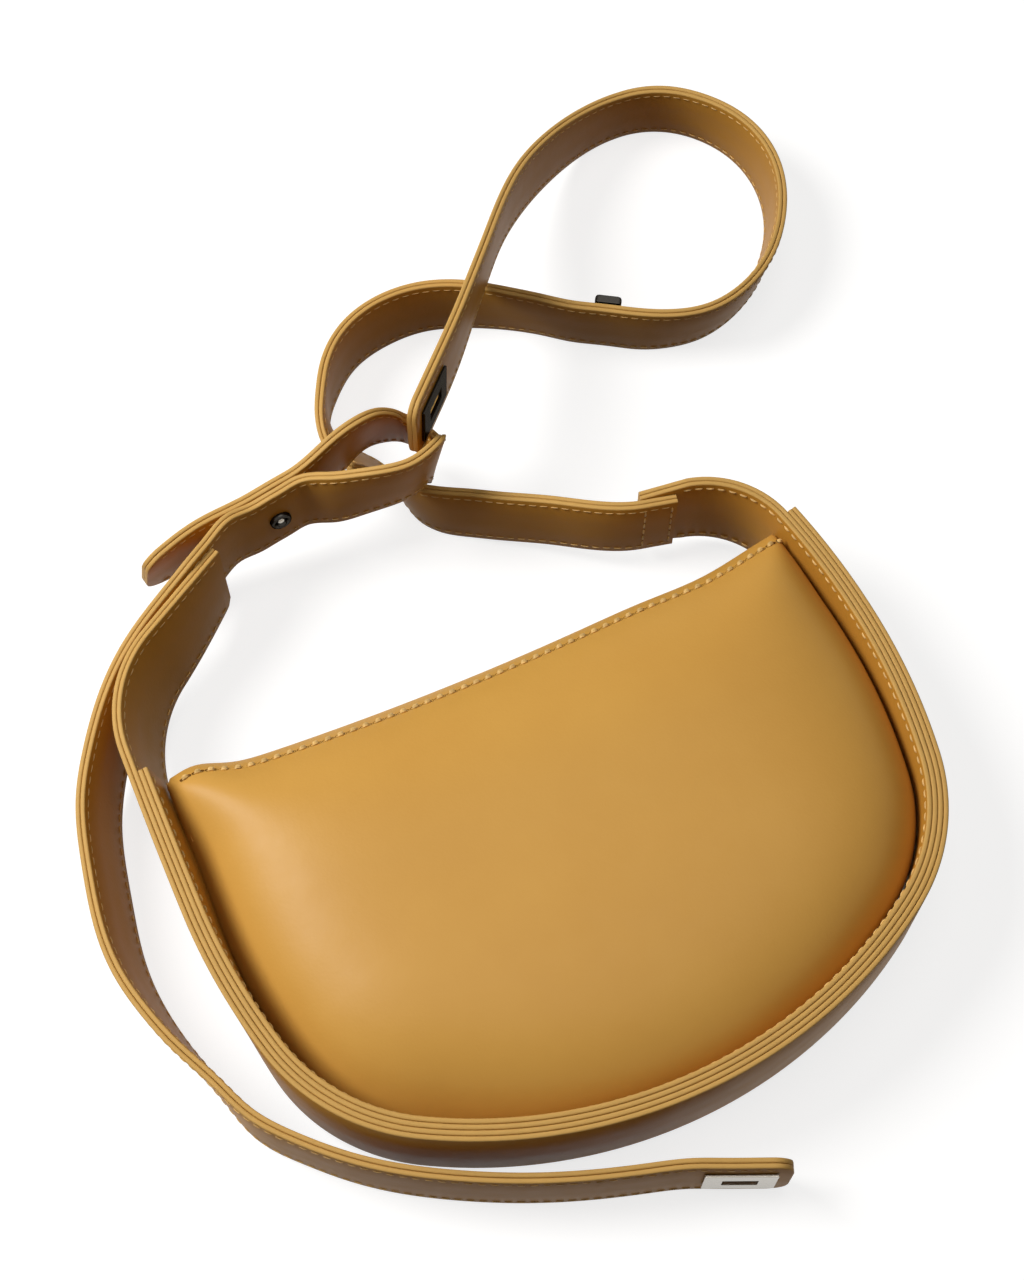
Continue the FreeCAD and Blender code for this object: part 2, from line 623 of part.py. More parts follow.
class Frame:
    """Place on a strap's middle line, with the strap's run, its width direction and its right side."""

    def __init__(self, point, run, up):
        self.point = point
        self.run = run
        self.up = up
        self.right = run.cross(up)

    def moved(self, length):
        return Frame(self.point + self.run * length, self.run, self.up)

    def reversed(self):
        return Frame(self.point, self.run * -1, self.up)

    def placement(self):
        matrix = Matrix(self.run.x, self.up.x, self.right.x, self.point.x,
                        self.run.y, self.up.y, self.right.y, self.point.y,
                        self.run.z, self.up.z, self.right.z, self.point.z,
                        0, 0, 0, 1)
        return Placement(matrix)

    def section(self, near, far):
        half = self.up * (size("strap_width") / 2)
        return [self.point + self.right * near - half, self.point + self.right * far - half,
                self.point + self.right * far + half, self.point + self.right * near + half]


def standing_frame(place, run, lean):
    """Frame of a strap whose lower edge is at the place; lean tips its front edge to the right."""
    upright = Vector(0, 0, 1) - run * run.z
    upright.normalize()
    turn = math.radians(lean)
    up = upright * math.cos(turn) + run.cross(upright) * math.sin(turn)
    low = size("strap_width") / 2 * up.z + strap_thickness / 2 * abs(run.cross(up).z)
    return Frame(place + Vector(0, 0, low), run, up)


def strap_frames(points, flats):
    """Frames along the route, upright in its curves; flats lists the first points of flat runs."""
    places = [Vector(x, y, lift) for x, y, lift, lean in points]
    spots = [0.0]
    for before, after in zip(places, places[1:]):
        spots.append(spots[-1] + (after - before).Length)
    line = Part.BSplineCurve()
    line.interpolate(Points=places, Parameters=spots)
    leans = Part.BSplineCurve()
    lean_scale = size("strap_width") / 180
    leans.interpolate(Points=[Vector(spot, point[3] * lean_scale, 0) for spot, point in zip(spots, points)],
                      Parameters=spots)
    frames = []
    for index in range(len(points) - 1):
        if index in flats:
            run = places[index + 1] - places[index]
            length = run.Length
            run.normalize()
            first = standing_frame(places[index], run, points[index][3])
            frames += [first, first.moved(length)]
            continue
        count = max(1, round((spots[index + 1] - spots[index]) / size("strap_step")))
        first = 1 if index - 1 in flats else 0
        last = count if index + 1 in flats else count + 1
        for number in range(first, last):
            if number == count and index + 1 < len(points) - 1:
                continue
            spot = spots[index] + (spots[index + 1] - spots[index]) * number / count
            run = line.tangent(spot)[0]
            run.z = 0
            run.normalize()
            place = line.value(spot)
            place.z = max(place.z, 0)
            frames.append(standing_frame(place, run, leans.value(spot).y / lean_scale))
    return frames


def strap_layer(frames, number):
    """One leather layer; layer 0 is on the strap's left face."""
    near = -strap_thickness / 2 + number * (size("strap_layer") + size("glue_line"))
    return skinned([frame.section(near, near + size("strap_layer")) for frame in frames])


def end_cutter(frame):
    """Rounds both corners of a strap's end; the frame stands at the tip."""
    radius = size("end_round")
    width = size("strap_width")
    depth = strap_thickness + 2 * size("overrun")
    block = Part.makeBox(radius + size("overrun"), width + 2 * size("overrun"), depth)
    block.translate(Vector(-radius, -width / 2 - size("overrun"), -depth / 2))
    for side in (-1, 1):
        rod = Part.makeCylinder(radius, depth)
        rod.translate(Vector(-radius, side * (width / 2 - radius), -depth / 2))
        block = block.cut(rod)
    middle = Part.makeBox(radius, width - 2 * radius, depth)
    middle.translate(Vector(-radius, -width / 2 + radius, -depth / 2))
    block = block.cut(middle)
    block.Placement = frame.placement()
    return block


def bored(frame, diameter):
    rod = Part.makeCylinder(diameter / 2, 4 * strap_thickness)
    rod.translate(Vector(0, 0, -2 * strap_thickness))
    rod.Placement = frame.placement().multiply(rod.Placement)
    return rod


def lock_cutter():
    """Bore for the turn lock's post through the outer layer and room for its flange in the inner one."""
    bore = Part.makeCylinder(size("lock_post") / 2 + size("metal_gap"), strap_thickness)
    bore.translate(Vector(0, 0, -strap_thickness))
    depth = size("glue_line") / 2 + size("lock_flange") + size("metal_gap")
    cutter = bore.fuse(Part.makeCylinder(size("lock_height") / 2 + size("metal_gap"), depth))
    cutter.Placement = lock_frame.placement()
    return cutter


def window_cutter(frame):
    depth = strap_thickness + 2 * size("overrun")
    box = Part.makeBox(size("window_length"), size("window_height"), depth)
    box.translate(Vector(-size("window_length") / 2, -size("window_height") / 2, -depth / 2))
    box.Placement = frame.placement().multiply(box.Placement)
    return box


def cut_all(shape, cutters):
    for cutter in cutters:
        shape = shape.cut(cutter)
    return shape


# Right strap: sewn inside the right tab, round its two loops to the flat free end

def right_route():
    offset = rim_depth + size("sewn_gap") + strap_thickness / 2
    tab = track[RIGHT_TAB_INDEX]
    lift = size("band_base") + (size("band_width") - size("strap_width")) / 2
    inner = along(tab, offset, size("right_sewn_run") / size("right_tab_run"))[0]
    outer = along(tab, offset, 0)[0]
    points = [(inner.x, inner.y, lift, 0), (outer.x, outer.y, lift, 0)]
    points += [route_point(shares) for shares in RIGHT_START_SHARES]
    across, up, lock_lift, lean = route_point(LOCK_PLACE_SHARES)
    lock_index = len(points)
    points += run_points(Vector(across, up, 0), size("lock_turn"), size("lock_flat"), lock_lift, 0, lean)
    points += [route_point(shares) for shares in RIGHT_LOOP_SHARES]
    end = route_point(STRAP_END_SHARES)
    tip = route_point(STRAP_TIP_SHARES)
    run = Vector(*tip[:3]) - Vector(*end[:3])
    run.normalize()
    points.append(end)
    stretched = Vector(*end[:3]) + run * size("strap_end_run")
    points.append((stretched.x, stretched.y, stretched.z, 0))
    return points, (0, lock_index, len(points) - 2)


# Left belt: folded end, loop, sewn along the left tab, down the side to the bend of its tail

def left_route():
    offset = -size("sewn_gap") - strap_thickness / 2
    tab = track[LEFT_TAB_INDEX]
    lift = size("band_base") + size("left_sewn_lift")
    across, up, rivet_lift, lean = route_point(RIVET_PLACE_SHARES)
    rivet = Vector(across, up, 0)
    climb = RIVET_CLIMB_SHARE * size("strap_width")
    folded = rivet + heading(size("rivet_turn") + 90) * (strap_thickness + size("fold_gap"))
    points = [route_point(shares) for shares in FOLD_START_SHARES]
    fold_index = len(points)
    points += run_points(folded, size("rivet_turn"), size("rivet_flat"), rivet_lift, climb, lean)
    points += [route_point(shares) for shares in LOOP_SHARES]
    rivet_index = len(points)
    points += run_points(rivet, size("rivet_turn") + 180, size("rivet_flat"), rivet_lift, -climb, lean)
    points += [route_point(shares) for shares in BELT_TURN_SHARES]
    sewn_index = len(points)
    for share in (1, 1 - size("left_sewn_run") / size("left_tab_run")):
        place = along(tab, offset, share)[0]
        points.append((place.x, place.y, lift, 0))
    points += [route_point(shares) for shares in BELT_SIDE_SHARES]
    points.append(route_point(TAIL_BEND_SHARES))
    return points, (fold_index, rivet_index, sewn_index)


def tail_route():
    bend = route_point(TAIL_BEND_SHARES)
    points = [bend] + [route_point(shares) for shares in TAIL_SHARES]
    end = route_point(TAIL_END_SHARES)
    tip = route_point(TAIL_TIP_SHARES)
    run = Vector(*tip[:3]) - Vector(*end[:3])
    run.normalize()
    points.append(end)
    stretched = Vector(*end[:3]) + run * size("tail_end_run")
    points.append((stretched.x, stretched.y, stretched.z, 0))
    return points, (len(points) - 2,)


def flat_frame(points, index, share):
    first = Vector(*points[index][:3])
    last = Vector(*points[index + 1][:3])
    run = last - first
    length = run.Length
    run.normalize()
    return standing_frame(first, run, points[index][3]).moved(length * share)


right_points, right_flats = right_route()
left_points, left_flats = left_route()
tail_points, tail_flats = tail_route()
lock_frame = flat_frame(right_points, right_flats[1], 0.5)
strap_tip = flat_frame(right_points, right_flats[2], 1)
rivet_frame = flat_frame(left_points, left_flats[1], 0.5)
tail_tip = flat_frame(tail_points, tail_flats[0], 1)
eyelet_back = -size("eyelet_margin") - size("eyelet_length") / 2
strap_eyelet = strap_tip.moved(eyelet_back)
belt_eyelet = tail_tip.moved(eyelet_back)


def bend_cylinder(frame, radius):
    rod = Part.makeCylinder(radius, size("strap_width") + 2 * size("overrun"))
    rod.translate(Vector(0, 0, -size("overrun") - size("strap_width") / 2))
    rod.Placement = Placement(frame.point, FreeCAD.Rotation()).multiply(rod.Placement)
    return rod


def knuckle_cutter(frame):
    """Rounds the tail's start about the upright line that it bends on."""
    radius = strap_thickness / 2
    width = size("strap_width") + 2 * size("overrun")
    block = Part.makeBox(radius + size("overrun"), width, strap_thickness + 2 * size("overrun"))
    block.translate(Vector(-radius - size("overrun"), -width / 2, -radius - size("overrun")))
    block.Placement = frame.placement().multiply(block.Placement)
    return block.cut(bend_cylinder(frame, radius))


def make_straps():
    right_frames = strap_frames(right_points, right_flats)
    right_cutters = [end_cutter(strap_tip), window_cutter(strap_eyelet), lock_cutter()]
    left_frames = strap_frames(left_points, left_flats)
    rivet_bore = bored(rivet_frame, size("rivet_shank") + 2 * size("metal_gap"))
    bend_room = bend_cylinder(left_frames[-1], strap_thickness / 2 + size("tail_gap"))
    left_cutters = [end_cutter(left_frames[0].reversed()), rivet_bore, bend_room]
    tail_frames = strap_frames(tail_points, tail_flats)
    tail_cutters = [end_cutter(tail_tip), window_cutter(belt_eyelet), knuckle_cutter(tail_frames[0])]
    tail_frames.insert(0, tail_frames[0].moved(-strap_thickness / 2))
    for name, frames, cutters in (("right_strap", right_frames, right_cutters),
                                  ("left_belt", left_frames, left_cutters),
                                  ("belt_tail", tail_frames, tail_cutters)):
        for number, side in enumerate(("outer", "inner")):
            solid_node("%s_%s" % (name, side), cut_all(strap_layer(frames, number), cutters))


# Hardware on the straps; local X along the strap, Y across it, Z out of its right face

def plate_with_window(label, frame, face):
    plate = box_at(label + "_blank", {
        "Length": "Sizes.eyelet_length", "Width": "Sizes.eyelet_height", "Height": "Sizes.eyelet_plate",
    }, Vector())
    window = box_at(label + "_window", {
        "Length": "Sizes.window_length", "Width": "Sizes.window_height",
        "Height": "Sizes.eyelet_plate + 2 * Sizes.overrun",
    }, Vector((size("eyelet_length") - size("window_length")) / 2,
              (size("eyelet_height") - size("window_height")) / 2, -size("overrun")))
    framed = doc.addObject("Part::Cut", label)
    framed.Base = plate
    framed.Tool = window
    gap = strap_thickness / 2 + size("metal_gap")
    level = gap if face > 0 else -gap - size("eyelet_plate")
    corner = Vector(-size("eyelet_length") / 2, -size("eyelet_height") / 2, level)
    framed.Placement = frame.placement().multiply(Placement(corner, FreeCAD.Rotation()))
    keep(framed, label)


def rod_at(label, frame, formulas, level):
    rod = doc.addObject("Part::Cylinder", label)
    bind(rod, **formulas)
    rod.Placement = frame.placement().multiply(Placement(Vector(0, 0, level), FreeCAD.Rotation()))
    return rod


def make_hardware():
    plate_with_window("belt_eyelet_front", belt_eyelet, 1)
    plate_with_window("belt_eyelet_back", belt_eyelet, -1)
    plate_with_window("strap_eyelet_front", strap_eyelet, -1)
    plate_with_window("strap_eyelet_back", strap_eyelet, 1)
    make_rivet()
    make_lock()


def make_rivet():
    near = -strap_thickness / 2 - size("metal_gap")
    far = strap_thickness * 1.5 + size("fold_gap") + size("metal_gap")
    cap = rod_at("rivet_cap", rivet_frame, {
        "Radius": "Sizes.rivet_head / 2", "Height": "Sizes.rivet_head_height",
    }, near - size("rivet_head_height"))
    keep(cap, "rivet_cap")
    shank = rod_at("rivet_shank", rivet_frame, {
        "Radius": "Sizes.rivet_shank / 2",
        "Height": "4 * Sizes.strap_layer + 2 * Sizes.glue_line + Sizes.fold_gap + 2 * Sizes.metal_gap",
    }, near)
    foot = rod_at("rivet_foot", rivet_frame, {
        "Radius": "Sizes.rivet_head / 2", "Height": "Sizes.rivet_head_height",
    }, far)
    post = doc.addObject("Part::Fuse", "rivet_post")
    post.Base = shank
    post.Tool = foot
    keep(post, "rivet_post")


def make_lock():
    near = -strap_thickness / 2 - size("metal_gap") - size("lock_plate")
    blank = box_at("lock_blank", {
        "Length": "Sizes.lock_length", "Width": "Sizes.lock_height", "Height": "Sizes.lock_plate",
    }, Vector())
    corner = Vector(-size("lock_length") / 2, -size("lock_height") / 2, near)
    blank.Placement = lock_frame.placement().multiply(Placement(corner, FreeCAD.Rotation()))
    bore = rod_at("lock_bore", lock_frame, {
        "Radius": "Sizes.lock_post / 2 + Sizes.metal_gap", "Height": "Sizes.lock_plate + 2 * Sizes.overrun",
    }, near - size("overrun"))
    plate = doc.addObject("Part::Cut", "lock_plate")
    plate.Base = blank
    plate.Tool = bore
    keep(plate, "lock_plate")
    top = near - size("collar_height")
    shank = rod_at("lock_shank", lock_frame, {
        "Radius": "Sizes.lock_post / 2",
        "Height": "Sizes.collar_height + Sizes.lock_plate + Sizes.metal_gap + Sizes.strap_layer"
                  " + Sizes.glue_line + Sizes.lock_flange",
    }, top)
    flange = rod_at("lock_flange", lock_frame, {
        "Radius": "Sizes.lock_height / 2", "Height": "Sizes.lock_flange",
    }, size("glue_line") / 2)
    post = doc.addObject("Part::Fuse", "lock_post")
    post.Base = shank
    post.Tool = flange
    keep(post, "lock_post")
    bar = box_at("knob_bar", {
        "Length": "Sizes.knob_length", "Width": "Sizes.knob_height", "Height": "Sizes.knob_thickness",
    }, Vector())
    level = top - size("knob_gap") - size("knob_thickness")
    corner = Vector(-size("knob_length") / 2, -size("knob_height") / 2, level)
    bar.Placement = lock_frame.placement().multiply(Placement(corner, FreeCAD.Rotation()))
    keep(bar, "lock_knob")


make_bands()
make_panels()
make_facings()
make_zip()
make_slider()
make_pull()
make_straps()
make_hardware()
doc.recompute()

for thing in doc.Objects:
    if "Invalid" in thing.State or "Error" in thing.State:
        raise RuntimeError("%s failed: %s" % (thing.Label, thing.State))
for node in nodes:
    if node.Shape.isNull() or not node.Shape.isValid() or not node.Shape.Solids:
        raise RuntimeError("%s has no valid solid" % node.Label)

os.makedirs("parts", exist_ok=True)
for node in nodes:
    node.Shape.exportStep("parts/%s.step" % node.Label)
    print("%-20s solids %3d volume %10.1f" % (node.Label, len(node.Shape.Solids), node.Shape.Volume))
print("tail bend", strap_frames(left_points, left_flats)[-1].point)
print("lock", lock_frame.point, lock_frame.right)
print("pull axis", pull_axis)
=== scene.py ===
"""Looks of a saddle handbag: leather, thread, lining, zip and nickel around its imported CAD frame."""

import math

import bmesh
import bpy
import numpy as np
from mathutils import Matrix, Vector


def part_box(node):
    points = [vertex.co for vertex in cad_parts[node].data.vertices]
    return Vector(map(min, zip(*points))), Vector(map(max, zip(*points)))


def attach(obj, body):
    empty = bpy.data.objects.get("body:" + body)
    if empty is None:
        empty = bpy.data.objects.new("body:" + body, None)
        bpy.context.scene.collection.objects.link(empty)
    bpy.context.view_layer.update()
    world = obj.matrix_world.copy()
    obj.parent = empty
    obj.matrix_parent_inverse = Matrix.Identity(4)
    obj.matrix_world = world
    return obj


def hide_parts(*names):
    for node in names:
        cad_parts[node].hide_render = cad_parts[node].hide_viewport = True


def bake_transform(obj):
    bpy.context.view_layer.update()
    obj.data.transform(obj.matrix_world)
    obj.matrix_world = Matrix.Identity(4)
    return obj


bl_info = {
    "name": "Saddle handbag",
    "version": (1, 0, 0),
    "blender": (4, 5, 0),
    "location": "3D View > Sidebar > Handbag",
    "description": "Builds the leather, stitching, lining and metal of a saddle handbag on its CAD frame",
    "category": "Object",
}

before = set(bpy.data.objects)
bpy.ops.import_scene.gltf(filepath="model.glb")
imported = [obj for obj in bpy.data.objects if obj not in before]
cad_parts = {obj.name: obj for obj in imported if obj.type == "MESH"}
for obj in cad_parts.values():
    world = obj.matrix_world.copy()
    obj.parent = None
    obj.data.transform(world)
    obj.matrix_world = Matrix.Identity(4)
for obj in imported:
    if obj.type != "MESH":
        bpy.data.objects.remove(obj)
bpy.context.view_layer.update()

# Lengths below are millimetres, as in the CAD source, and meshes are scaled to metres when they are made
MM = 0.001

# Rim line, as in the CAD source
HALF_WIDTH = 110.0
WIDEST = 30.0
SIDE_RISE = 43.0
RIGHT_DRAW = 4.0
LEFT_DRAW = 0.6
BODY_DROP = 105.0
SIDE_RADIUS = 190.0
SIDE_TURN = 14.0
CORNER_RADIUS = 62.0
RIGHT_TAB = (15.0, 33.0, 66.0)
LEFT_TAB = (10.0, 42.0, 57.0, 33.0)
LEFT_TAB_ROUND = 3.0
LEFT_TAB_LEAN = 15.0
LEAN_START = 0.26
RIGHT_TAB_TAPER = 3.0
INNER_BAND_LEAD = 2.0
BAND_LOW = 6.0
BAND_WIDTH = 32.0
BAND_LAYER = 1.45
GLUE_LINE = 0.1
RIM_DEPTH = 4 * BAND_LAYER + 3 * GLUE_LINE
CORNER_LINE = WIDEST + SIDE_RISE
LEAN_FOOT = -40.0

# Panels, lining and mouth
PANEL_THICKNESS = 1.6
PANEL_INSET = RIM_DEPTH + 0.45
FRONT_SEAM = 25.0
FRONT_CROWN = 19.0
BACK_SEAM = 13.0
MOUTH_CORNER = CORNER_LINE + 1.0
MOUTH_DIP = 6.0
MOUTH_LIP = 1.2
LINING_GAP = 0.3
LINING_THICKNESS = 0.6

# Straps
STRAP_HALF = 13.0
STRAP_LAYER = 1.45
STRAP_THICKNESS = 2 * STRAP_LAYER + GLUE_LINE
STRAP_REACH = 123.0
SEWN_GAP = 0.15
END_ROUND = 6.0
FOLD_GAP = 0.3
WINDOW_LENGTH = 10.2
WINDOW_HALF = 2.7
EYELET_BACK = 14.0
RIGHT_SEWN_LIFT = BAND_LOW + BAND_WIDTH / 2 - STRAP_HALF

# Strap routes as in the CAD source. Each point gives its place across, as a share of half the width; its
# place up from the corner line, as a share of the body drop below it, of the left tab's rise up to 1 and
# of the strap reach from there; the lift of the lower edge, as a share of the strap's width; and the lean
# of the front edge to the right, in degrees
RIGHT_START = ((0.373, 0.607, 0.20, 0), (0.255, 0.759, 0.10, 0), (0.186, 0.855, 0.03, 0),
               (0.118, 0.941, 0.0, -2), (0.057, 1.029, 0.0, -10), (0.02, 1.106, 0.0, -24),
               (-0.022, 1.183, 0.0, -36), (-0.06, 1.252, 0.0, -30), (-0.075, 1.313, 0.0, -12),
               (-0.062, 1.383, 0.0, 0), (-0.002, 1.471, 0.0, 0), (0.10, 1.55, 0.0, 0),
               (0.227, 1.586, 0.0, 0), (0.355, 1.583, 0.0, 2), (0.473, 1.545, 0.0, 4),
               (0.582, 1.485, 0.0, 8), (0.682, 1.417, 0.0, 10))
LOCK_PLACE = (0.836, 1.316, 0.0, 10)
RIGHT_LOOP = ((1.009, 1.231, 0.0, 12), (1.11, 1.214, 0.0, 14), (1.236, 1.235, 0.0, 14),
              (1.355, 1.294, 0.0, 12), (1.455, 1.383, 0.0, 8), (1.527, 1.488, 0.0, 4),
              (1.564, 1.611, 0.0, 0), (1.55, 1.741, 0.0, -5), (1.482, 1.855, 0.0, -9),
              (1.373, 1.936, 0.0, -10), (1.236, 1.965, 0.0, -9), (1.09, 1.939, 0.08, -6),
              (0.945, 1.871, 0.27, -3), (0.797, 1.771, 0.52, -2), (0.657, 1.642, 0.80, -4),
              (0.528, 1.493, 1.09, -4), (0.425, 1.377, 1.24, -3), (0.318, 1.26, 1.35, -1))
STRAP_END = (0.22, 1.162, 1.43, 0)
STRAP_TIP = (0.066, 1.017, 1.52, 0)
FOLD_START = ((-0.744, 1.06, 0.43, 17), (-0.671, 1.074, 0.44, 12), (-0.566, 1.087, 0.47, 6))
RIVET_PLACE = (-0.336, 1.065, 0.577, 0)
RIVET_CLIMB = 0.077
LOOP = ((-0.129, 1.121, 0.91, 5), (-0.036, 1.151, 0.95, 12), (0.055, 1.177, 0.71, 16),
        (0.122, 1.163, 0.46, 14), (0.138, 1.116, 0.37, 0), (0.138, 1.07, 0.43, -8),
        (0.128, 1.029, 0.74, -12), (0.1, 0.971, 1.07, -11), (0.038, 0.932, 1.06, -10),
        (-0.032, 0.938, 1.03, -8), (-0.109, 0.986, 0.93, -4), (-0.182, 1.025, 0.80, 0))
BELT_TURN = ((-0.482, 1.05, 0.56, 0),)
BELT_SIDE = ((-0.667, 0.905, 0.48, 3), (-0.76, 0.799, 0.42, 6), (-0.849, 0.688, 0.34, 9),
             (-0.935, 0.544, 0.26, 11), (-1.04, 0.294, 0.14, 13), (-1.102, 0.082, 0.07, 15),
             (-1.143, -0.11, 0.02, 16), (-1.163, -0.22, 0.0, 16), (-1.177, -0.33, 0.0, 15),
             (-1.177, -0.446, 0.0, 13), (-1.157, -0.57, 0.0, 10), (-1.122, -0.695, 0.0, 7),
             (-1.077, -0.819, 0.0, 3))
TAIL = ((-1.032, -0.943, 0.0, 0), (-0.955, -1.048, 0.0, 0), (-0.859, -1.148, 0.0, 0),
        (-0.755, -1.233, 0.0, 0), (-0.636, -1.31, 0.0, 0), (-0.50, -1.384, 0.0, 0),
        (-0.355, -1.448, 0.0, 0), (-0.20, -1.503, 0.0, 0))
TAIL_END = (-0.109, -1.535, 0.0, 0)
TAIL_TIP = (0.127, -1.648, 0.0, 0)
LOCK_TURN = -33.0
LOCK_FLAT = 11.0
RIVET_TURN = 2.0
RIVET_FLAT = 8.0
RIGHT_SEWN = 11.0
LEFT_SEWN = 6.0
LEFT_SEWN_LIFT = 14.0
STRAP_END_RUN = 25.0
TAIL_END_RUN = 28.0


def linear(hex_colour):
    """Linear red, green and blue of an sRGB hex colour."""
    shares = [int(hex_colour[place:place + 2], 16) / 255 for place in (1, 3, 5)]
    return [share / 12.92 if share <= 0.04045 else ((share + 0.055) / 1.055) ** 2.4 for share in shares]


class HandbagSizes(bpy.types.PropertyGroup):
    """Sizes of the sewn details."""

    edge_round: bpy.props.FloatProperty(
        name="Edge round", description="Radius of a leather layer's painted edge",
        default=0.42 * MM, unit="LENGTH")
    stitch_pitch: bpy.props.FloatProperty(
        name="Stitch pitch", description="From one stitch to the next", default=3.5 * MM, unit="LENGTH")
    stitch_margin: bpy.props.FloatProperty(
        name="Stitch margin", description="From a leather edge to its row of stitches",
        default=2.3 * MM, unit="LENGTH")
    hem: bpy.props.FloatProperty(
        name="Mouth hem", description="From the mouth's edge to its row of stitches, seen from the front",
        default=5.6 * MM, unit="LENGTH")
    hem_pitch: bpy.props.FloatProperty(
        name="Hem pitch", description="From one stitch of the mouth's row to the next",
        default=3.85 * MM, unit="LENGTH")
    thread: bpy.props.FloatProperty(
        name="Thread", description="Width of the rim's sewing thread", default=0.65 * MM, unit="LENGTH")
    hem_thread: bpy.props.FloatProperty(
        name="Hem thread", description="Width of the mouth's sewing thread",
        default=1.45 * MM, unit="LENGTH")
    fine_thread: bpy.props.FloatProperty(
        name="Fine thread", description="Width of the straps' sewing thread",
        default=0.36 * MM, unit="LENGTH")


class HandbagColours(bpy.types.PropertyGroup):
    """Colours of the leather, thread, cloth and metal."""

    leather: bpy.props.FloatVectorProperty(
        name="Leather", description="Coated leather of the panels",
        default=linear("#CB9A48"), subtype="COLOR", size=3, min=0, max=1)
    leather_deep: bpy.props.FloatVectorProperty(
        name="Leather, deep", description="Darker clouds in the panels' leather",
        default=linear("#BD8A3B"), subtype="COLOR", size=3, min=0, max=1)
    # The bands and straps are the panels' leather painted a darker, more saturated tan: painted shade for
    # their sides, which mostly stand in shade
    strap: bpy.props.FloatVectorProperty(
        name="Strap leather", description="Matt leather of the bands and straps",
        default=linear("#C08B38"), subtype="COLOR", size=3, min=0, max=1)
    strap_deep: bpy.props.FloatVectorProperty(
        name="Strap leather, deep", description="Darker clouds in the matt leather",
        default=linear("#AE7A2A"), subtype="COLOR", size=3, min=0, max=1)
    edge: bpy.props.FloatVectorProperty(
        name="Edge paint", description="Painted edges of the leather",
        default=linear("#CA9F58"), subtype="COLOR", size=3, min=0, max=1)
    thread: bpy.props.FloatVectorProperty(
        name="Thread", description="Sewing thread",
        default=linear("#DDB46C"), subtype="COLOR", size=3, min=0, max=1)
    lining: bpy.props.FloatVectorProperty(
        name="Lining", description="Lining cloth",
        default=linear("#6B4F33"), subtype="COLOR", size=3, min=0, max=1)
    tape: bpy.props.FloatVectorProperty(
        name="Zip tape", description="Woven tape of the zip",
        default=linear("#8F6A33"), subtype="COLOR", size=3, min=0, max=1)
    nickel: bpy.props.FloatVectorProperty(
        name="Nickel", description="Plated metal parts",
        default=linear("#B7B1A6"), subtype="COLOR", size=3, min=0, max=1)
    # Nickel painted dark: a painted dark reflection for the strap's eyelet, the lock and the rivet's
    # ring, which are plated like the rest
    nickel_with_painted_dark_reflection: bpy.props.FloatVectorProperty(
        name="Nickel, painted dark reflection", description="Nickel parts painted dark as a painted dark reflection",
        default=linear("#3B3834"), subtype="COLOR", size=3, min=0, max=1)


class HandbagStage(bpy.types.PropertyGroup):
    """Floor and light."""

    key_power: bpy.props.FloatProperty(
        name="Key light", description="Power of the soft key light", default=12.6, unit="POWER")
    ambient: bpy.props.FloatProperty(
        name="Ambient light", description="Strength of the light from all round", default=0.04, min=0)
    floor: bpy.props.FloatVectorProperty(
        name="Floor", description="Pale floor", default=linear("#F4F2EF"), subtype="COLOR",
        size=3, min=0, max=1)


# Rim line: straight runs and right-hand arcs

def heading(degrees):
    """Unit direction in plan."""
    return np.array((math.cos(math.radians(degrees)), math.sin(math.radians(degrees))))


def arc_of_side(draw):
    """Radius and turn of an upper side that draws in over the side's rise."""
    radius = (draw ** 2 + SIDE_RISE ** 2) / (2 * draw)
    return radius, math.degrees(math.asin(SIDE_RISE / radius))


def rim_track():
    """List of (start point, heading, radius or None, length or turn) from the right tab to the left."""
    right_radius, right_turn = arc_of_side(RIGHT_DRAW)
    left_radius, left_turn = arc_of_side(LEFT_DRAW)
    side_centre = np.array((HALF_WIDTH - SIDE_RADIUS, WIDEST))
    corner_centre = side_centre + heading(-SIDE_TURN) * (SIDE_RADIUS - CORNER_RADIUS)
    bottom_line = WIDEST - BODY_DROP
    depth = corner_centre[1] - bottom_line
    bottom = (corner_centre[0] ** 2 + depth ** 2 - CORNER_RADIUS ** 2) / (2 * (depth - CORNER_RADIUS))
    reach = corner_centre - np.array((0.0, bottom_line + bottom))
    corner_turn = -math.degrees(math.atan2(reach[1], reach[0])) - SIDE_TURN
    bottom_turn = 180 - 2 * (corner_turn + SIDE_TURN)
    steps = ((None, RIGHT_TAB[0]), (RIGHT_TAB[1], RIGHT_TAB[2]), (right_radius, right_turn),
             (SIDE_RADIUS, SIDE_TURN), (CORNER_RADIUS, corner_turn), (bottom, bottom_turn),
             (CORNER_RADIUS, corner_turn), (SIDE_RADIUS, SIDE_TURN), (left_radius, left_turn),
             (None, LEFT_TAB[0]), (LEFT_TAB[1], LEFT_TAB[2]), (None, LEFT_TAB[3]))
    angle = right_turn + RIGHT_TAB[2]
    upper_centre = np.array((HALF_WIDTH - right_radius, WIDEST))
    tab_centre = upper_centre + heading(right_turn) * (right_radius - RIGHT_TAB[1])
    place = tab_centre + heading(angle) * RIGHT_TAB[1] + heading(angle + 90) * RIGHT_TAB[0]
    angle -= 90
    track = []
    for radius, amount in steps:
        track.append((place, angle, radius, amount))
        place, angle = along(track[-1], 1)
    return track


def along(step, share):
    """Place and heading at a share of one step of the track."""
    place, angle, radius, amount = step
    if radius is None:
        return place + heading(angle) * (amount * share), angle
    turned = angle - amount * share
    centre = place + heading(angle - 90) * radius
    return centre - heading(turned - 90) * radius, turned


RIGHT_TAB_STEP = 0
RIGHT_TAB_ARC = 1
RIGHT_SIDE_STEP = 2
LEFT_LEAD_STEP = 9
LEFT_TAB_STEP = 11
TRACK = rim_track()
TAB_LENGTH = LEFT_TAB[0] + LEFT_TAB[1] * math.radians(LEFT_TAB[2]) + LEFT_TAB[3] - INNER_BAND_LEAD
TAB_RISE = along(TRACK[LEFT_TAB_STEP], 1)[0][1] - CORNER_LINE


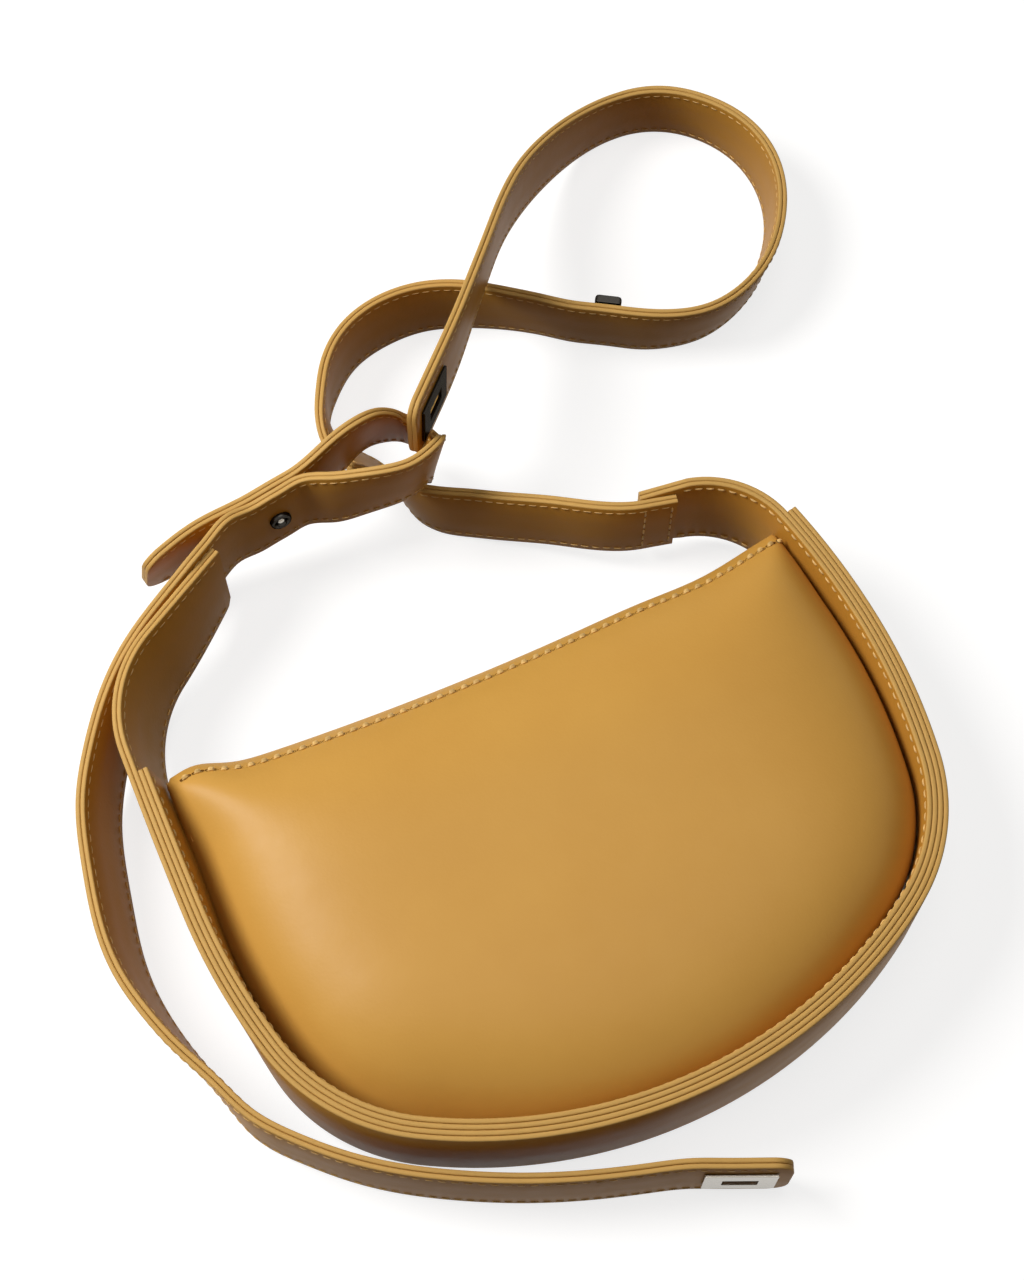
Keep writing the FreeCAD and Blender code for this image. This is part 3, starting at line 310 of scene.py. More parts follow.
def run_along(path):
    """Length along a path up to each of its points."""
    return np.concatenate(([0.0], np.cumsum(np.linalg.norm(np.diff(path, axis=0), axis=1))))


def between(spots, run, values):
    """Values at the wanted spots of a run."""
    return np.stack([np.interp(spots, run, values[:, axis]) for axis in range(3)], axis=1)


def smooth_step(values, start, end):
    """Soft rise from 0 at the start to 1 at the end."""
    share = np.clip((values - start) / (end - start), 0, 1)
    return share * share * (3 - 2 * share)


class Line:
    """Stations along a strip of leather: middle points, right sides and width directions."""

    def __init__(self, centre, right, up):
        self.centre = np.asarray(centre, float)
        self.right = np.asarray(right, float)
        self.up = np.asarray(up, float)
        count = len(self.centre)
        self.top = np.full(count, STRAP_HALF)
        self.bottom = np.full(count, STRAP_HALF)
        self.run = run_along(self.centre)

    def length(self):
        return self.run[-1]


def rim_line(first, last, spacing=1.8):
    """Stations on the rim's outer face from one (step, share) of the track to another."""
    centres, rights = [], []
    for index in range(first[0], last[0] + 1):
        radius, amount = TRACK[index][2:]
        start = first[1] if index == first[0] else 0.0
        end = last[1] if index == last[0] else 1.0
        length = amount if radius is None else radius * math.radians(amount)
        count = max(2, int(length * (end - start) / spacing))
        shares = np.linspace(start, end, count + 1)
        for share in shares if index == last[0] else shares[:-1]:
            place, angle = along(TRACK[index], share)
            centres.append((*place, BAND_LOW + BAND_WIDTH / 2))
            rights.append((*heading(angle - 90), 0.0))
    line = Line(centres, rights, np.tile((0.0, 0.0, 1.0), (len(centres), 1)))
    line.top[:] = BAND_WIDTH / 2
    line.bottom[:] = BAND_WIDTH / 2
    return line


def rim_lean(line, tab_length):
    """Lean of the soft rim at each station: none at the bottom, growing up its left side and the tab."""
    rise = smooth_step(line.centre[:, 1], LEAN_FOOT, CORNER_LINE)
    side = np.where(line.centre[:, 0] < 0, rise, 0) * math.sin(math.pi * LEAN_START)
    share = np.zeros(len(line.run))
    if tab_length:
        share = np.clip(1 - (line.length() - line.run) / tab_length, 0, 1)
    tab = np.sin(math.pi * (LEAN_START + (1 - LEAN_START) * share))
    return math.radians(LEFT_TAB_LEAN) * np.where(share > 0, tab, side)


def lean_rim(line, tab_length):
    """Leans the rim about its front edge."""
    lean = rim_lean(line, tab_length)[:, None]
    front = line.centre + line.up * line.top[:, None]
    inwards = line.right * np.cos(lean) + line.up * np.sin(lean)
    line.up = line.up * np.cos(lean) - line.right * np.sin(lean)
    line.right = inwards
    line.centre = front - line.up * line.top[:, None]


# Strap routes

def route_point(shares):
    """Place, lift and lean of one point of a strap's route."""
    across, up, lift, lean = shares
    height = CORNER_LINE + min(up, 0) * BODY_DROP + min(max(up, 0), 1) * TAB_RISE
    height += max(up - 1, 0) * STRAP_REACH
    return [across * HALF_WIDTH, height, lift * 2 * STRAP_HALF, lean]


def flat_run(start, end):
    """Four points in line, which keep the route straight between its ends."""
    start, end = np.array(start), np.array(end)
    return [list(start + (end - start) * share) for share in (0, 1 / 3, 2 / 3, 1)]


def turned_run(centre, degrees, half_run, lift, climb, lean):
    """Straight run through a centre, at an angle in plan."""
    ends = []
    for side in (-1, 1):
        place = np.array(centre) + heading(degrees) * (side * half_run)
        ends.append([*place, lift + side * climb, lean])
    return flat_run(*ends)


def stretched_run(end, tip, length):
    """Straight run of a given length from one point towards another."""
    start = np.array(route_point(end))
    run = np.array(route_point(tip))[:3] - start[:3]
    stop = start[:3] + run / np.linalg.norm(run) * length
    return flat_run(start, [*stop, start[3]])


def sewn_run(step, offset, first, last, lift):
    """Straight run beside a tab, where the strap is sewn to it."""
    ends = []
    for share in (first, last):
        place, angle = along(TRACK[step], share)
        ends.append([*(place + heading(angle - 90) * offset), lift, 0.0])
    return flat_run(*ends)


def right_route():
    """From the right tab through the first arc, past the lock and round the big loop to the free end."""
    offset = RIM_DEPTH + SEWN_GAP + STRAP_THICKNESS / 2
    lock = route_point(LOCK_PLACE)
    points = sewn_run(RIGHT_TAB_STEP, offset, RIGHT_SEWN / RIGHT_TAB[0], 0, RIGHT_SEWN_LIFT)
    points += [route_point(shares) for shares in RIGHT_START]
    points += turned_run(lock[:2], LOCK_TURN, LOCK_FLAT, lock[2], 0, lock[3])
    points += [route_point(shares) for shares in RIGHT_LOOP]
    return points + stretched_run(STRAP_END, STRAP_TIP, STRAP_END_RUN)


def left_route():
    """From the folded end round the loop, past the rivet and the left tab, and down to the tail."""
    rivet = route_point(RIVET_PLACE)
    climb = RIVET_CLIMB * 2 * STRAP_HALF
    folded = np.array(rivet[:2]) + heading(RIVET_TURN + 90) * (STRAP_THICKNESS + FOLD_GAP)
    points = [route_point(shares) for shares in FOLD_START]
    points += turned_run(folded, RIVET_TURN, RIVET_FLAT, rivet[2], climb, 0)
    points += [route_point(shares) for shares in LOOP]
    points += turned_run(rivet[:2], RIVET_TURN + 180, RIVET_FLAT, rivet[2], -climb, 0)
    points += [route_point(shares) for shares in BELT_TURN]
    offset = -SEWN_GAP - STRAP_THICKNESS / 2
    points += sewn_run(LEFT_TAB_STEP, offset, 1, 1 - LEFT_SEWN / LEFT_TAB[3], LEFT_SEWN_LIFT)
    points += [route_point(shares) for shares in BELT_SIDE + TAIL]
    return points + stretched_run(TAIL_END, TAIL_TIP, TAIL_END_RUN)


def spline(spots, values, wanted):
    """Natural cubic spline through the values, and its slope, at the wanted spots."""
    gaps = np.diff(spots)
    rises = np.diff(values, axis=0) / gaps[:, None]
    count = len(spots)
    system = np.eye(count)
    target = np.zeros_like(values)
    for index in range(1, count - 1):
        before, after = gaps[index - 1:index + 1]
        system[index, index - 1:index + 2] = (before, 2 * (before + after), after)
        target[index] = 6 * (rises[index] - rises[index - 1])
    bends = np.linalg.solve(system, target)
    piece = np.clip(np.searchsorted(spots, wanted) - 1, 0, count - 2)
    gap = gaps[piece][:, None]
    after = (wanted - spots[piece])[:, None]
    left, right = bends[piece], bends[piece + 1]
    slope = rises[piece] - gap * (2 * left + right) / 6
    places = values[piece] + after * (slope + after * (left / 2 + after * (right - left) / (6 * gap)))
    return places, slope + after * (left + after * (right - left) / (2 * gap))


END_STATIONS = 13


def strap_line(points, round_start, round_end, spacing=1.7):
    """Stations of a strap that stands on its edge along a route, with round corners at its free ends."""
    points = np.array(points, float)
    spots = run_along(points[:, :3])
    fine = np.linspace(0, END_ROUND, END_STATIONS)
    wanted = np.linspace(0, spots[-1], int(spots[-1] / spacing))
    wanted = np.unique(np.concatenate((wanted, fine, spots[-1] - fine)))
    places, slopes = spline(spots, points, wanted)
    run = slopes[:, :2] / np.linalg.norm(slopes[:, :2], axis=1)[:, None]
    lean = np.radians(places[:, 3])
    side = np.stack((run[:, 1], -run[:, 0], np.zeros(len(run))), axis=1)
    up = side * np.sin(lean)[:, None]
    up[:, 2] = np.cos(lean)
    right = side * np.cos(lean)[:, None]
    right[:, 2] = -np.sin(lean)
    centre = places[:, :3].copy()
    centre[:, 2] = np.maximum(centre[:, 2], 0)
    centre[:, 2] += STRAP_HALF * up[:, 2] + STRAP_THICKNESS / 2 * np.abs(right[:, 2])
    line = Line(centre, right, up)
    for use, from_end in ((round_start, wanted), (round_end, spots[-1] - wanted)):
        if use:
            inside = np.clip(END_ROUND - from_end, 0, END_ROUND)
            cut = END_ROUND - np.sqrt(END_ROUND ** 2 - inside ** 2)
            line.top -= cut
            line.bottom -= cut
    return line


# Mesh making

FACE = 0
EDGE = 1
SMOOTH_ANGLE = math.radians(50)


class Pieces:
    """Collects vertices and faces, in millimetres, for one object."""

    def __init__(self):
        self.points, self.faces, self.paints = [], [], []
        self.count = 0

    def add_points(self, points):
        first = self.count
        self.points.append(np.asarray(points, float).reshape(-1, 3))
        self.count += len(self.points[-1])
        return first

    def add_face(self, corners, paint):
        self.faces.append([int(corner) for corner in corners])
        self.paints.append(paint)

    def add_tube(self, first, rows, size, paint):
        """Faces between closed rings of points that follow each other."""
        for base in range(first, first + (rows - 1) * size, size):
            for number in range(size):
                after = (number + 1) % size
                corners = (number, after, size + after, size + number)
                self.add_face([base + corner for corner in corners], paint)

    def add_sheet(self, rows, columns):
        """Faces of a grid of points."""
        for row in range(rows - 1):
            for column in range(columns - 1):
                base = row * columns + column
                self.add_face((base, base + 1, base + columns + 1, base + columns), FACE)

    def make(self, name, materials):
        mesh = bpy.data.meshes.new(name)
        mesh.from_pydata((np.concatenate(self.points) * MM).tolist(), [], self.faces)
        for material in materials:
            mesh.materials.append(material)
        mesh.polygons.foreach_set("material_index", self.paints)
        shape = bmesh.new()
        shape.from_mesh(mesh)
        bmesh.ops.recalc_face_normals(shape, faces=shape.faces)
        shape.to_mesh(mesh)
        shape.free()
        mesh.shade_smooth()
        mesh.set_sharp_from_angle(angle=SMOOTH_ANGLE)
        thing = bpy.data.objects.new(name, mesh)
        bpy.context.scene.collection.objects.link(thing)
        return thing


def layer_profile(near, far, edge_round, window):
    """Corners of a layer's section: offset to the right, edge's sign or 0, inset or place, and paint."""
    nick = edge_round * (1 - math.sqrt(0.5))
    left = [(near, -1, edge_round, FACE), (near, 0, -window, FACE), (near, 0, window, FACE)]
    top = [(near, 1, edge_round, EDGE), (near + nick, 1, nick, EDGE), (near + edge_round, 1, 0, EDGE),
           (far - edge_round, 1, 0, EDGE), (far - nick, 1, nick, EDGE)]
    right = [(far, 1, edge_round, FACE), (far, 0, window, FACE), (far, 0, -window, FACE)]
    low = [(far, -1, edge_round, EDGE), (far - nick, -1, nick, EDGE), (far - edge_round, -1, 0, EDGE),
           (near + edge_round, -1, 0, EDGE), (near + nick, -1, nick, EDGE)]
    return left + top + right + low


LEFT_WINDOW_SEGMENT = 1
RIGHT_WINDOW_SEGMENT = 9


def add_layer(pieces, line, near, far, edge_round, hole=None):
    """One closed leather layer along a line; hole is the (first, last) run of a window through it."""
    profile = layer_profile(near, far, edge_round, WINDOW_HALF)
    columns, paints = [], []
    for offset, sign, place, paint in profile:
        width = np.full(len(line.centre), place)
        if sign > 0:
            width = line.top - place
        if sign < 0:
            width = place - line.bottom
        columns.append(line.centre + line.right * offset + line.up * width[:, None])
        paints.append(paint)
    size = len(profile)
    rows = len(line.centre)
    first = pieces.add_points(np.stack(columns, axis=1))
    open_rows = range(0)
    if hole:
        inside = np.nonzero((line.run >= hole[0]) & (line.run <= hole[1]))[0]
        open_rows = range(inside[0], inside[-1])
    for row in range(rows - 1):
        base = first + row * size
        for segment in range(size):
            after = (segment + 1) % size
            if row in open_rows and segment in (LEFT_WINDOW_SEGMENT, RIGHT_WINDOW_SEGMENT):
                continue
            corners = (segment, after, size + after, size + segment)
            pieces.add_face([base + corner for corner in corners], paints[segment])
    for row in (0, rows - 1):
        pieces.add_face(range(first + row * size, first + (row + 1) * size), EDGE)
    if hole:
        low_wall = (LEFT_WINDOW_SEGMENT, RIGHT_WINDOW_SEGMENT + 1)
        high_wall = (LEFT_WINDOW_SEGMENT + 1, RIGHT_WINDOW_SEGMENT)
        for row in open_rows:
            base = first + row * size
            for left, right in (low_wall, high_wall):
                corners = (left, right, size + right, size + left)
                pieces.add_face([base + corner for corner in corners], EDGE)
        for row in (open_rows[0], open_rows[-1] + 1):
            base = first + row * size
            pieces.add_face([base + corner for corner in (*low_wall, *reversed(high_wall))], EDGE)


# Stitches: short arched lengths of thread between dark needle holes

STITCH_SIDES = 6
# Sections of a stitch: place along half its length, height and width as shares of the thread's radius
STITCH_SECTIONS = ((-1.0, -0.35, 0.30), (-0.72, 0.28, 0.85), (-0.3, 0.48, 1.0), (0.3, 0.48, 1.0),
                   (0.72, 0.28, 0.85), (1.0, -0.35, 0.30))
# A stitch's length as a share of the pitch
STITCH_SHARE = 0.74
HEM_STITCH_SHARE = 0.56
# A needle hole's place as a share of the stitch's length, its size as shares of the thread's radius, how
# high its rim stands on the leather and how deep its middle lies
HOLE_PLACE = 0.54
HOLE_LENGTH = 1.0
HOLE_WIDTH = 0.9
HOLE_RIM = 0.03
HOLE_DEPTH = 0.15
HOLE_SIDES = 8
THREAD_PAINT = 0
HOLE_PAINT = 1
# How far rows stop from the ends of a band, the strap and the belt, and where rows cross the strap
BAND_ROW_GAP = 2.0
STRAP_ROW_GAPS = (2.0, 3.0)
BELT_ROW_GAPS = (5.0, 5.0)
CROSS_ROWS = (1.6, RIGHT_SEWN - 1.0)
# The mouth's row: gap to the rim, further gap on the left, points of its path and reach of its slope
HEM_GAP = 4.0
HEM_LEFT_GAP = 3.0
HEM_POINTS = 400
HEM_SLOPE_REACH = 0.5


def add_stitches(pieces, places, tangents, normals, length, thread, holes):
    """One arched stitch at each place, with a needle hole at both of its ends where holes is true."""
    tangents = tangents / np.linalg.norm(tangents, axis=1)[:, None]
    normals = normals - tangents * np.sum(normals * tangents, axis=1)[:, None]
    normals = normals / np.linalg.norm(normals, axis=1)[:, None]
    sides = np.cross(normals, tangents)
    radius = thread / 2
    turns = np.arange(STITCH_SIDES) * 2 * math.pi / STITCH_SIDES
    hole_turns = np.arange(HOLE_SIDES) * 2 * math.pi / HOLE_SIDES
    for place, tangent, normal, side in zip(places, tangents, normals, sides):
        rings = []
        for share, height, width in STITCH_SECTIONS:
            middle = place + tangent * (share * length / 2) + normal * (height * radius)
            rings.append([middle + (side * math.cos(turn) + normal * math.sin(turn)) * (width * radius)
                          for turn in turns])
        first = pieces.add_points(rings)
        pieces.add_tube(first, len(rings), STITCH_SIDES, THREAD_PAINT)
        for row in (0, len(rings) - 1):
            base = first + row * STITCH_SIDES
            pieces.add_face(range(base, base + STITCH_SIDES), THREAD_PAINT)
        for end in (-1, 1) if holes else ():
            middle = place + tangent * (end * length * HOLE_PLACE) + normal * HOLE_RIM
            ring = [middle + tangent * (math.cos(turn) * radius * HOLE_LENGTH)
                    + side * (math.sin(turn) * radius * HOLE_WIDTH) for turn in hole_turns]
            first = pieces.add_points(ring + [middle - normal * HOLE_DEPTH])
            for number in range(HOLE_SIDES):
                after = (number + 1) % HOLE_SIDES
                pieces.add_face((first + number, first + after, first + HOLE_SIDES), HOLE_PAINT)


def stitch_row(pieces, line, offset, width, start, end, sizes, face, thread):
    """Row of stitches along a strip's face; face is -1 on its left and 1 on its right."""
    path = line.centre + line.right * offset + line.up * width
    steps = run_along(path)
    first = np.interp(start, line.run, steps)
    last = np.interp(end, line.run, steps)
    pitch = sizes.stitch_pitch / MM
    count = max(1, int((last - first) / pitch))
    spots = first + (np.arange(count) + 0.5) * (last - first) / count
    tangents = between(spots, steps, np.gradient(path, steps, axis=0))
    normals = between(spots, steps, line.right) * face
    places = between(spots, steps, path)
    add_stitches(pieces, places, tangents, normals, pitch * STITCH_SHARE, thread / MM, False)


def cross_row(pieces, line, offset, spot, reach, sizes, face):
    """Row of stitches across a strip at one place of its run."""
    pitch = sizes.stitch_pitch / MM
    count = int(2 * reach / pitch)
    widths = (np.arange(count) + 0.5) * 2 * reach / count - reach
    stations = (line.centre, line.right, line.up)
    centre, right, up = (between([spot], line.run, values)[0] for values in stations)
    places = centre + right * offset + up * widths[:, None]
    add_stitches(pieces, places, np.tile(up, (count, 1)), np.tile(right * face, (count, 1)),
                 pitch * STITCH_SHARE, sizes.thread / MM, True)


# Panels: crowned leather over the seam

# Close stations of the rim between the mouth's corners
RIM_SAMPLES = rim_line((RIGHT_TAB_ARC, 0.9), (LEFT_LEAD_STEP, 0.3), 0.8)
# Swell and sag of the mouth's edge: height, place across and width
MOUTH_BUMP = 3.4
BUMP_PLACE = -91.0
BUMP_WIDTH = 9.0
MOUTH_SAG = 1.8
SAG_PLACE = 72.0
SAG_WIDTH = 18.0
# Crowns of the panels: reach from the rim, reach from the mouth and fullness
FRONT_CURVE = (54.0, 48.0, 2.4)
BACK_CURVE = (38.0, 34.0, 2.0)
MOUTH_FULLNESS = 4 / 3
CROWN_BLEND = 3.2
LEAST_SHARE = 1e-6
# Slump of the front panel: height, and the size and shift of its waves across and up
SLUMP = 0.7
SLUMP_SIZES = (31.0, 27.0)
SLUMP_SHIFTS = (0.6, -0.4)
# How far the front panel's edge is drawn down along the rim's sides, and how far in that is felt
LEFT_DRAWN = 8.0
LEFT_DRAWN_REACH = 12.0
RIGHT_DRAWN = 3.0
RIGHT_DRAWN_REACH = 6.0
# Where that begins and where it is full: below the mouth, and out from the middle
DRAWN_BELOW = (4.0, 30.0)
DRAWN_OUT = (5.0, 80.0)
DISTANCE_BATCH = 2000
MOUTH_POINTS = 120


def rim_plan(level):
    """Plan of the rim's outer face at a height; its leaning side lies further in below the front edge."""
    drop = (BAND_LOW + BAND_WIDTH - level) * np.tan(rim_lean(RIM_SAMPLES, 0))[:, None]
    return RIM_SAMPLES.centre[:, :2] + RIM_SAMPLES.right[:, :2] * drop


def mouth_level(across):
    """Place of the mouth's edge: dipped in the middle, swollen at its left and sagged at its right."""
    dip = MOUTH_DIP * (1 - np.clip(np.abs(across) / (HALF_WIDTH - PANEL_INSET), 0, 1) ** 2)
    swell = MOUTH_BUMP * np.exp(-((across - BUMP_PLACE) / BUMP_WIDTH) ** 2)
    return MOUTH_CORNER - dip + swell - MOUTH_SAG * np.exp(-((across - SAG_PLACE) / SAG_WIDTH) ** 2)


def rim_distance(places, seam):
    """Distance in plan from each place to the rim's outer face at the seam's height."""
    rim = rim_plan(seam)
    gaps = np.empty(len(places))
    for start in range(0, len(places), DISTANCE_BATCH):
        batch = slice(start, start + DISTANCE_BATCH)
        gaps[batch] = np.sqrt(((places[batch, None, :] - rim[None]) ** 2).sum(axis=2)).min(axis=1)
    return gaps


def crown_share(places, skin, seam, rim_reach, mouth_reach, fullness):
    """Share of the crown's rise at each place; skin is how far under the leather's face it is wanted."""
    from_rim = np.maximum(rim_distance(places, seam) - PANEL_INSET - skin, 0) / rim_reach
    from_mouth = np.maximum(mouth_level(places[:, 0]) - places[:, 1] - skin, 0) / mouth_reach
    sides = np.clip(from_rim, LEAST_SHARE, 1)
    mouth = np.clip(from_mouth, LEAST_SHARE, 1) ** MOUTH_FULLNESS
    near = (sides ** -CROWN_BLEND + mouth ** -CROWN_BLEND) ** (-1 / CROWN_BLEND)
    return np.sqrt(1 - (1 - np.clip(near, 0, 1)) ** fullness)


def front_height(places, skin):
    """Crown of the front panel: slumped a little, and drawn down along the rim's sides."""
    across, up = places[:, 0], places[:, 1]
    share = crown_share(places, skin, FRONT_SEAM, *FRONT_CURVE)
    slump = SLUMP * np.sin(across / SLUMP_SIZES[0] + SLUMP_SHIFTS[0])
    slump *= np.cos(up / SLUMP_SIZES[1] + SLUMP_SHIFTS[1])
    from_rim = np.maximum(rim_distance(places, FRONT_SEAM) - PANEL_INSET - skin, 0)
    below = smooth_step(mouth_level(across) - up, *DRAWN_BELOW)
    left = smooth_step(-across, *DRAWN_OUT) * np.exp(-from_rim / LEFT_DRAWN_REACH)
    right = smooth_step(across, *DRAWN_OUT) * np.exp(-from_rim / RIGHT_DRAWN_REACH)
    drawn = below * (LEFT_DRAWN * left + RIGHT_DRAWN * right)
    return FRONT_SEAM + (FRONT_CROWN - skin) * share + slump * share ** 3 - drawn


def back_height(places, skin):
    """Crown of the back panel, down to the flat that the bag lies on."""
    return BACK_SEAM - (BACK_SEAM - skin) * crown_share(places, skin, BACK_SEAM, *BACK_CURVE)


PANEL_SIDES = (("front", front_height, FRONT_SEAM), ("back", back_height, BACK_SEAM))
# Rings of a panel's mesh: how far each lies from the edge towards the heart
PANEL_RINGS = (0, 0.003, 0.008, 0.016, 0.027, 0.042, 0.062, 0.088, 0.12, 0.158, 0.202, 0.252, 0.308, 0.37,
               0.438, 0.512, 0.592, 0.678, 0.77, 0.868, 0.95)
PANEL_HEART = np.array((0.0, 4.0))


def panel_loop(seam, inset, lip):
    """Closed outline of a panel: down one side, round the bottom, up the other and along the mouth."""
    rim = rim_plan(seam) + RIM_SAMPLES.right[:, :2] * inset
    below = rim[rim[:, 1] <= MOUTH_CORNER - lip]
    across = np.linspace(below[-1, 0], below[0, 0], MOUTH_POINTS)[1:-1]
    mouth = np.stack((across, mouth_level(across) - lip), axis=1)
    return np.concatenate((below[::2], mouth))


def face_towards(thing, sign, number=0):
    """Turns a sheet over unless its numbered face looks up, or down where the sign is -1."""
    if thing.data.polygons[number].normal.z * sign < 0:
        thing.data.flip_normals()


def panel_piece(name, height, seam, skin, lip, thickness, paint):
    """Shell of a panel or lining, thickened inwards."""
    loop = panel_loop(seam, PANEL_INSET + skin, lip)
    rings = [loop + (PANEL_HEART - loop) * share for share in PANEL_RINGS]
    places = np.concatenate(rings + [PANEL_HEART[None]])
    heights = height(places, skin)
    pieces = Pieces()
    pieces.add_points(np.column_stack((places, heights)))
    size = len(loop)
    pieces.add_tube(0, len(PANEL_RINGS), size, FACE)
    base = (len(PANEL_RINGS) - 1) * size
    for number in range(size):
        pieces.add_face((base + number, base + (number + 1) % size, base + size), FACE)
    thing = pieces.make(name, [paint])
    face_towards(thing, 1 if heights[-1] > heights[0] else -1, -1)
    return thickened(thing, thickness)


def thickened(thing, thickness):
    """The piece with an inner face, as a plain mesh."""
    solid = thing.modifiers.new("Thickness", "SOLIDIFY")
    solid.thickness = thickness * MM
    solid.offset = -1
    view = bpy.context.evaluated_depsgraph_get()
    mesh = bpy.data.meshes.new_from_object(thing.evaluated_get(view))
    thing.modifiers.clear()
    old = thing.data
    thing.data = mesh
    bpy.data.meshes.remove(old)
    mesh.set_sharp_from_angle(angle=SMOOTH_ANGLE)
    return thing


# Materials

def per_mm(size):
    """Texture scale that gives a pattern this many millimetres wide, in metres of object space."""
    return 1 / (size * MM)


def add_node(tree, kind, settings=None, values=None, links=None):
    """Adds a node with its settings, input values and links from other nodes' outputs."""
    node = tree.nodes.new(kind)
    for name, value in (settings or {}).items():
        setattr(node, name, value)
    for name, value in (values or {}).items():
        node.inputs[name].default_value = value
    for name, socket in (links or {}).items():
        tree.links.new(socket, node.inputs[name])
    return node


def new_material(name):
    """An empty material and its node tree."""
    material = bpy.data.materials.new(name)
    material.use_nodes = True
    material.node_tree.nodes.clear()
    return material, material.node_tree


def rgba(colour, share=1.0):
    """A socket's colour, darker or lighter than the given one by a share."""
    return [*np.minimum(share * np.array(colour), 1), 1]


# Sockets of a Mix node that mixes colours
MIX_FACTOR = 0
MIX_FIRST = 6
MIX_SECOND = 7
MIX_RESULT = 2

# A wave texture of scale 1 turns by this many radians in a unit, and a diagonal one by half as many
WAVE_RADIANS = 20


def coated_leather(name, light_colour, deep_colour, gloss_level, gloss_tint):
    """Split leather with a polyurethane coat, pressed with a fine pebble grain: a soft broad sheen."""
    material, tree = new_material(name)
    place = add_node(tree, "ShaderNodeTexCoord").outputs["Object"]
    # Clouds of dye are 55 mm wide and creases 6 mm. The real pebbles are about 0.4 mm wide, and are
    # drawn at 0.9 mm so that they show
    cloud, crease, pebble = 55, 6, 0.9
    clouds = add_node(tree, "ShaderNodeTexNoise", {},
                      {"Scale": per_mm(cloud), "Detail": 4.0, "Roughness": 0.6}, {"Vector": place})
    tone = add_node(tree, "ShaderNodeMix", {"data_type": "RGBA"},
                    {MIX_FIRST: rgba(deep_colour), MIX_SECOND: rgba(light_colour)},
                    {MIX_FACTOR: clouds.outputs["Fac"]})
    grain = add_node(tree, "ShaderNodeTexVoronoi", {"feature": "SMOOTH_F1"},
                     {"Scale": per_mm(pebble), "Smoothness": 0.7}, {"Vector": place})
    creases = add_node(tree, "ShaderNodeTexNoise", {},
                       {"Scale": per_mm(crease), "Detail": 5.0, "Roughness": 0.6}, {"Vector": place})
    pebbles = add_node(tree, "ShaderNodeBump", {}, {"Strength": 0.16, "Distance": 0.12 * MM},
                       {"Height": grain.outputs["Distance"]})
    waves = add_node(tree, "ShaderNodeBump", {}, {"Strength": 0.12, "Distance": 0.5 * MM},
                     {"Height": creases.outputs["Fac"], "Normal": pebbles.outputs["Normal"]})
    gloss = add_node(tree, "ShaderNodeMapRange", {}, {"To Min": 0.40, "To Max": 0.52},
                     {"Value": creases.outputs["Fac"]})
    shader = add_node(tree, "ShaderNodeBsdfPrincipled", {},
                      {"Specular IOR Level": gloss_level, "Specular Tint": rgba(gloss_tint)},
                      {"Base Color": tone.outputs[MIX_RESULT], "Roughness": gloss.outputs["Result"],
                       "Normal": waves.outputs["Normal"]})
    add_node(tree, "ShaderNodeOutputMaterial", links={"Surface": shader.outputs["BSDF"]})
    return material


def edge_paint(colours):
    """Acrylic edge paint, rolled on in two coats over cut leather: paler and matter than the face."""
    material, tree = new_material("Acrylic edge paint, pale tan")
    place = add_node(tree, "ShaderNodeTexCoord").outputs["Object"]
    # The paint lies in beads about 4 mm long, and is worn darker between them
    bead, worn = 4, 0.86
    wear = add_node(tree, "ShaderNodeTexNoise", {},
                    {"Scale": per_mm(bead), "Detail": 4.0, "Roughness": 0.7}, {"Vector": place})
    tone = add_node(tree, "ShaderNodeMix", {"data_type": "RGBA"},
                    {MIX_FIRST: rgba(colours.edge, worn), MIX_SECOND: rgba(colours.edge)},
                    {MIX_FACTOR: wear.outputs["Fac"]})
    beads = add_node(tree, "ShaderNodeBump", {}, {"Strength": 0.2, "Distance": 0.15 * MM},
                     {"Height": wear.outputs["Fac"]})
    shader = add_node(tree, "ShaderNodeBsdfPrincipled", {},
                      {"Roughness": 0.55, "Specular IOR Level": 0.15},
                      {"Base Color": tone.outputs[MIX_RESULT], "Normal": beads.outputs["Normal"]})
    add_node(tree, "ShaderNodeOutputMaterial", links={"Surface": shader.outputs["BSDF"]})
    return material


def polyester_thread(colours):
    """Bonded polyester sewing thread: a silky sheen, and painted shade in the grooves between its plies.
    """
    material, tree = new_material("Bonded polyester thread, tan")
    place = add_node(tree, "ShaderNodeTexCoord").outputs["Object"]
    # Plies of 0.5 mm are too fine to show. They are drawn about 6 mm long, with painted shade in the
    # grooves between them, as a tone that goes from one stitch to the next
    ply, shaded = 0.5, 0.78
    plies = add_node(tree, "ShaderNodeTexWave", {"bands_direction": "DIAGONAL"},
                     {"Scale": per_mm(ply) / WAVE_RADIANS, "Distortion": 1.0}, {"Vector": place})
    ridge = add_node(tree, "ShaderNodeBump", {}, {"Strength": 0.4, "Distance": 0.1 * MM},
                     {"Height": plies.outputs["Fac"]})
    tone = add_node(tree, "ShaderNodeMix", {"data_type": "RGBA"},
                    {MIX_FIRST: rgba(colours.thread, shaded), MIX_SECOND: rgba(colours.thread)},
                    {MIX_FACTOR: plies.outputs["Fac"]})
    shader = add_node(tree, "ShaderNodeBsdfPrincipled", {},
                      {"Roughness": 0.55, "Specular IOR Level": 0.3, "Sheen Weight": 0.15},
                      {"Base Color": tone.outputs[MIX_RESULT], "Normal": ridge.outputs["Normal"]})
    add_node(tree, "ShaderNodeOutputMaterial", links={"Surface": shader.outputs["BSDF"]})
    return material


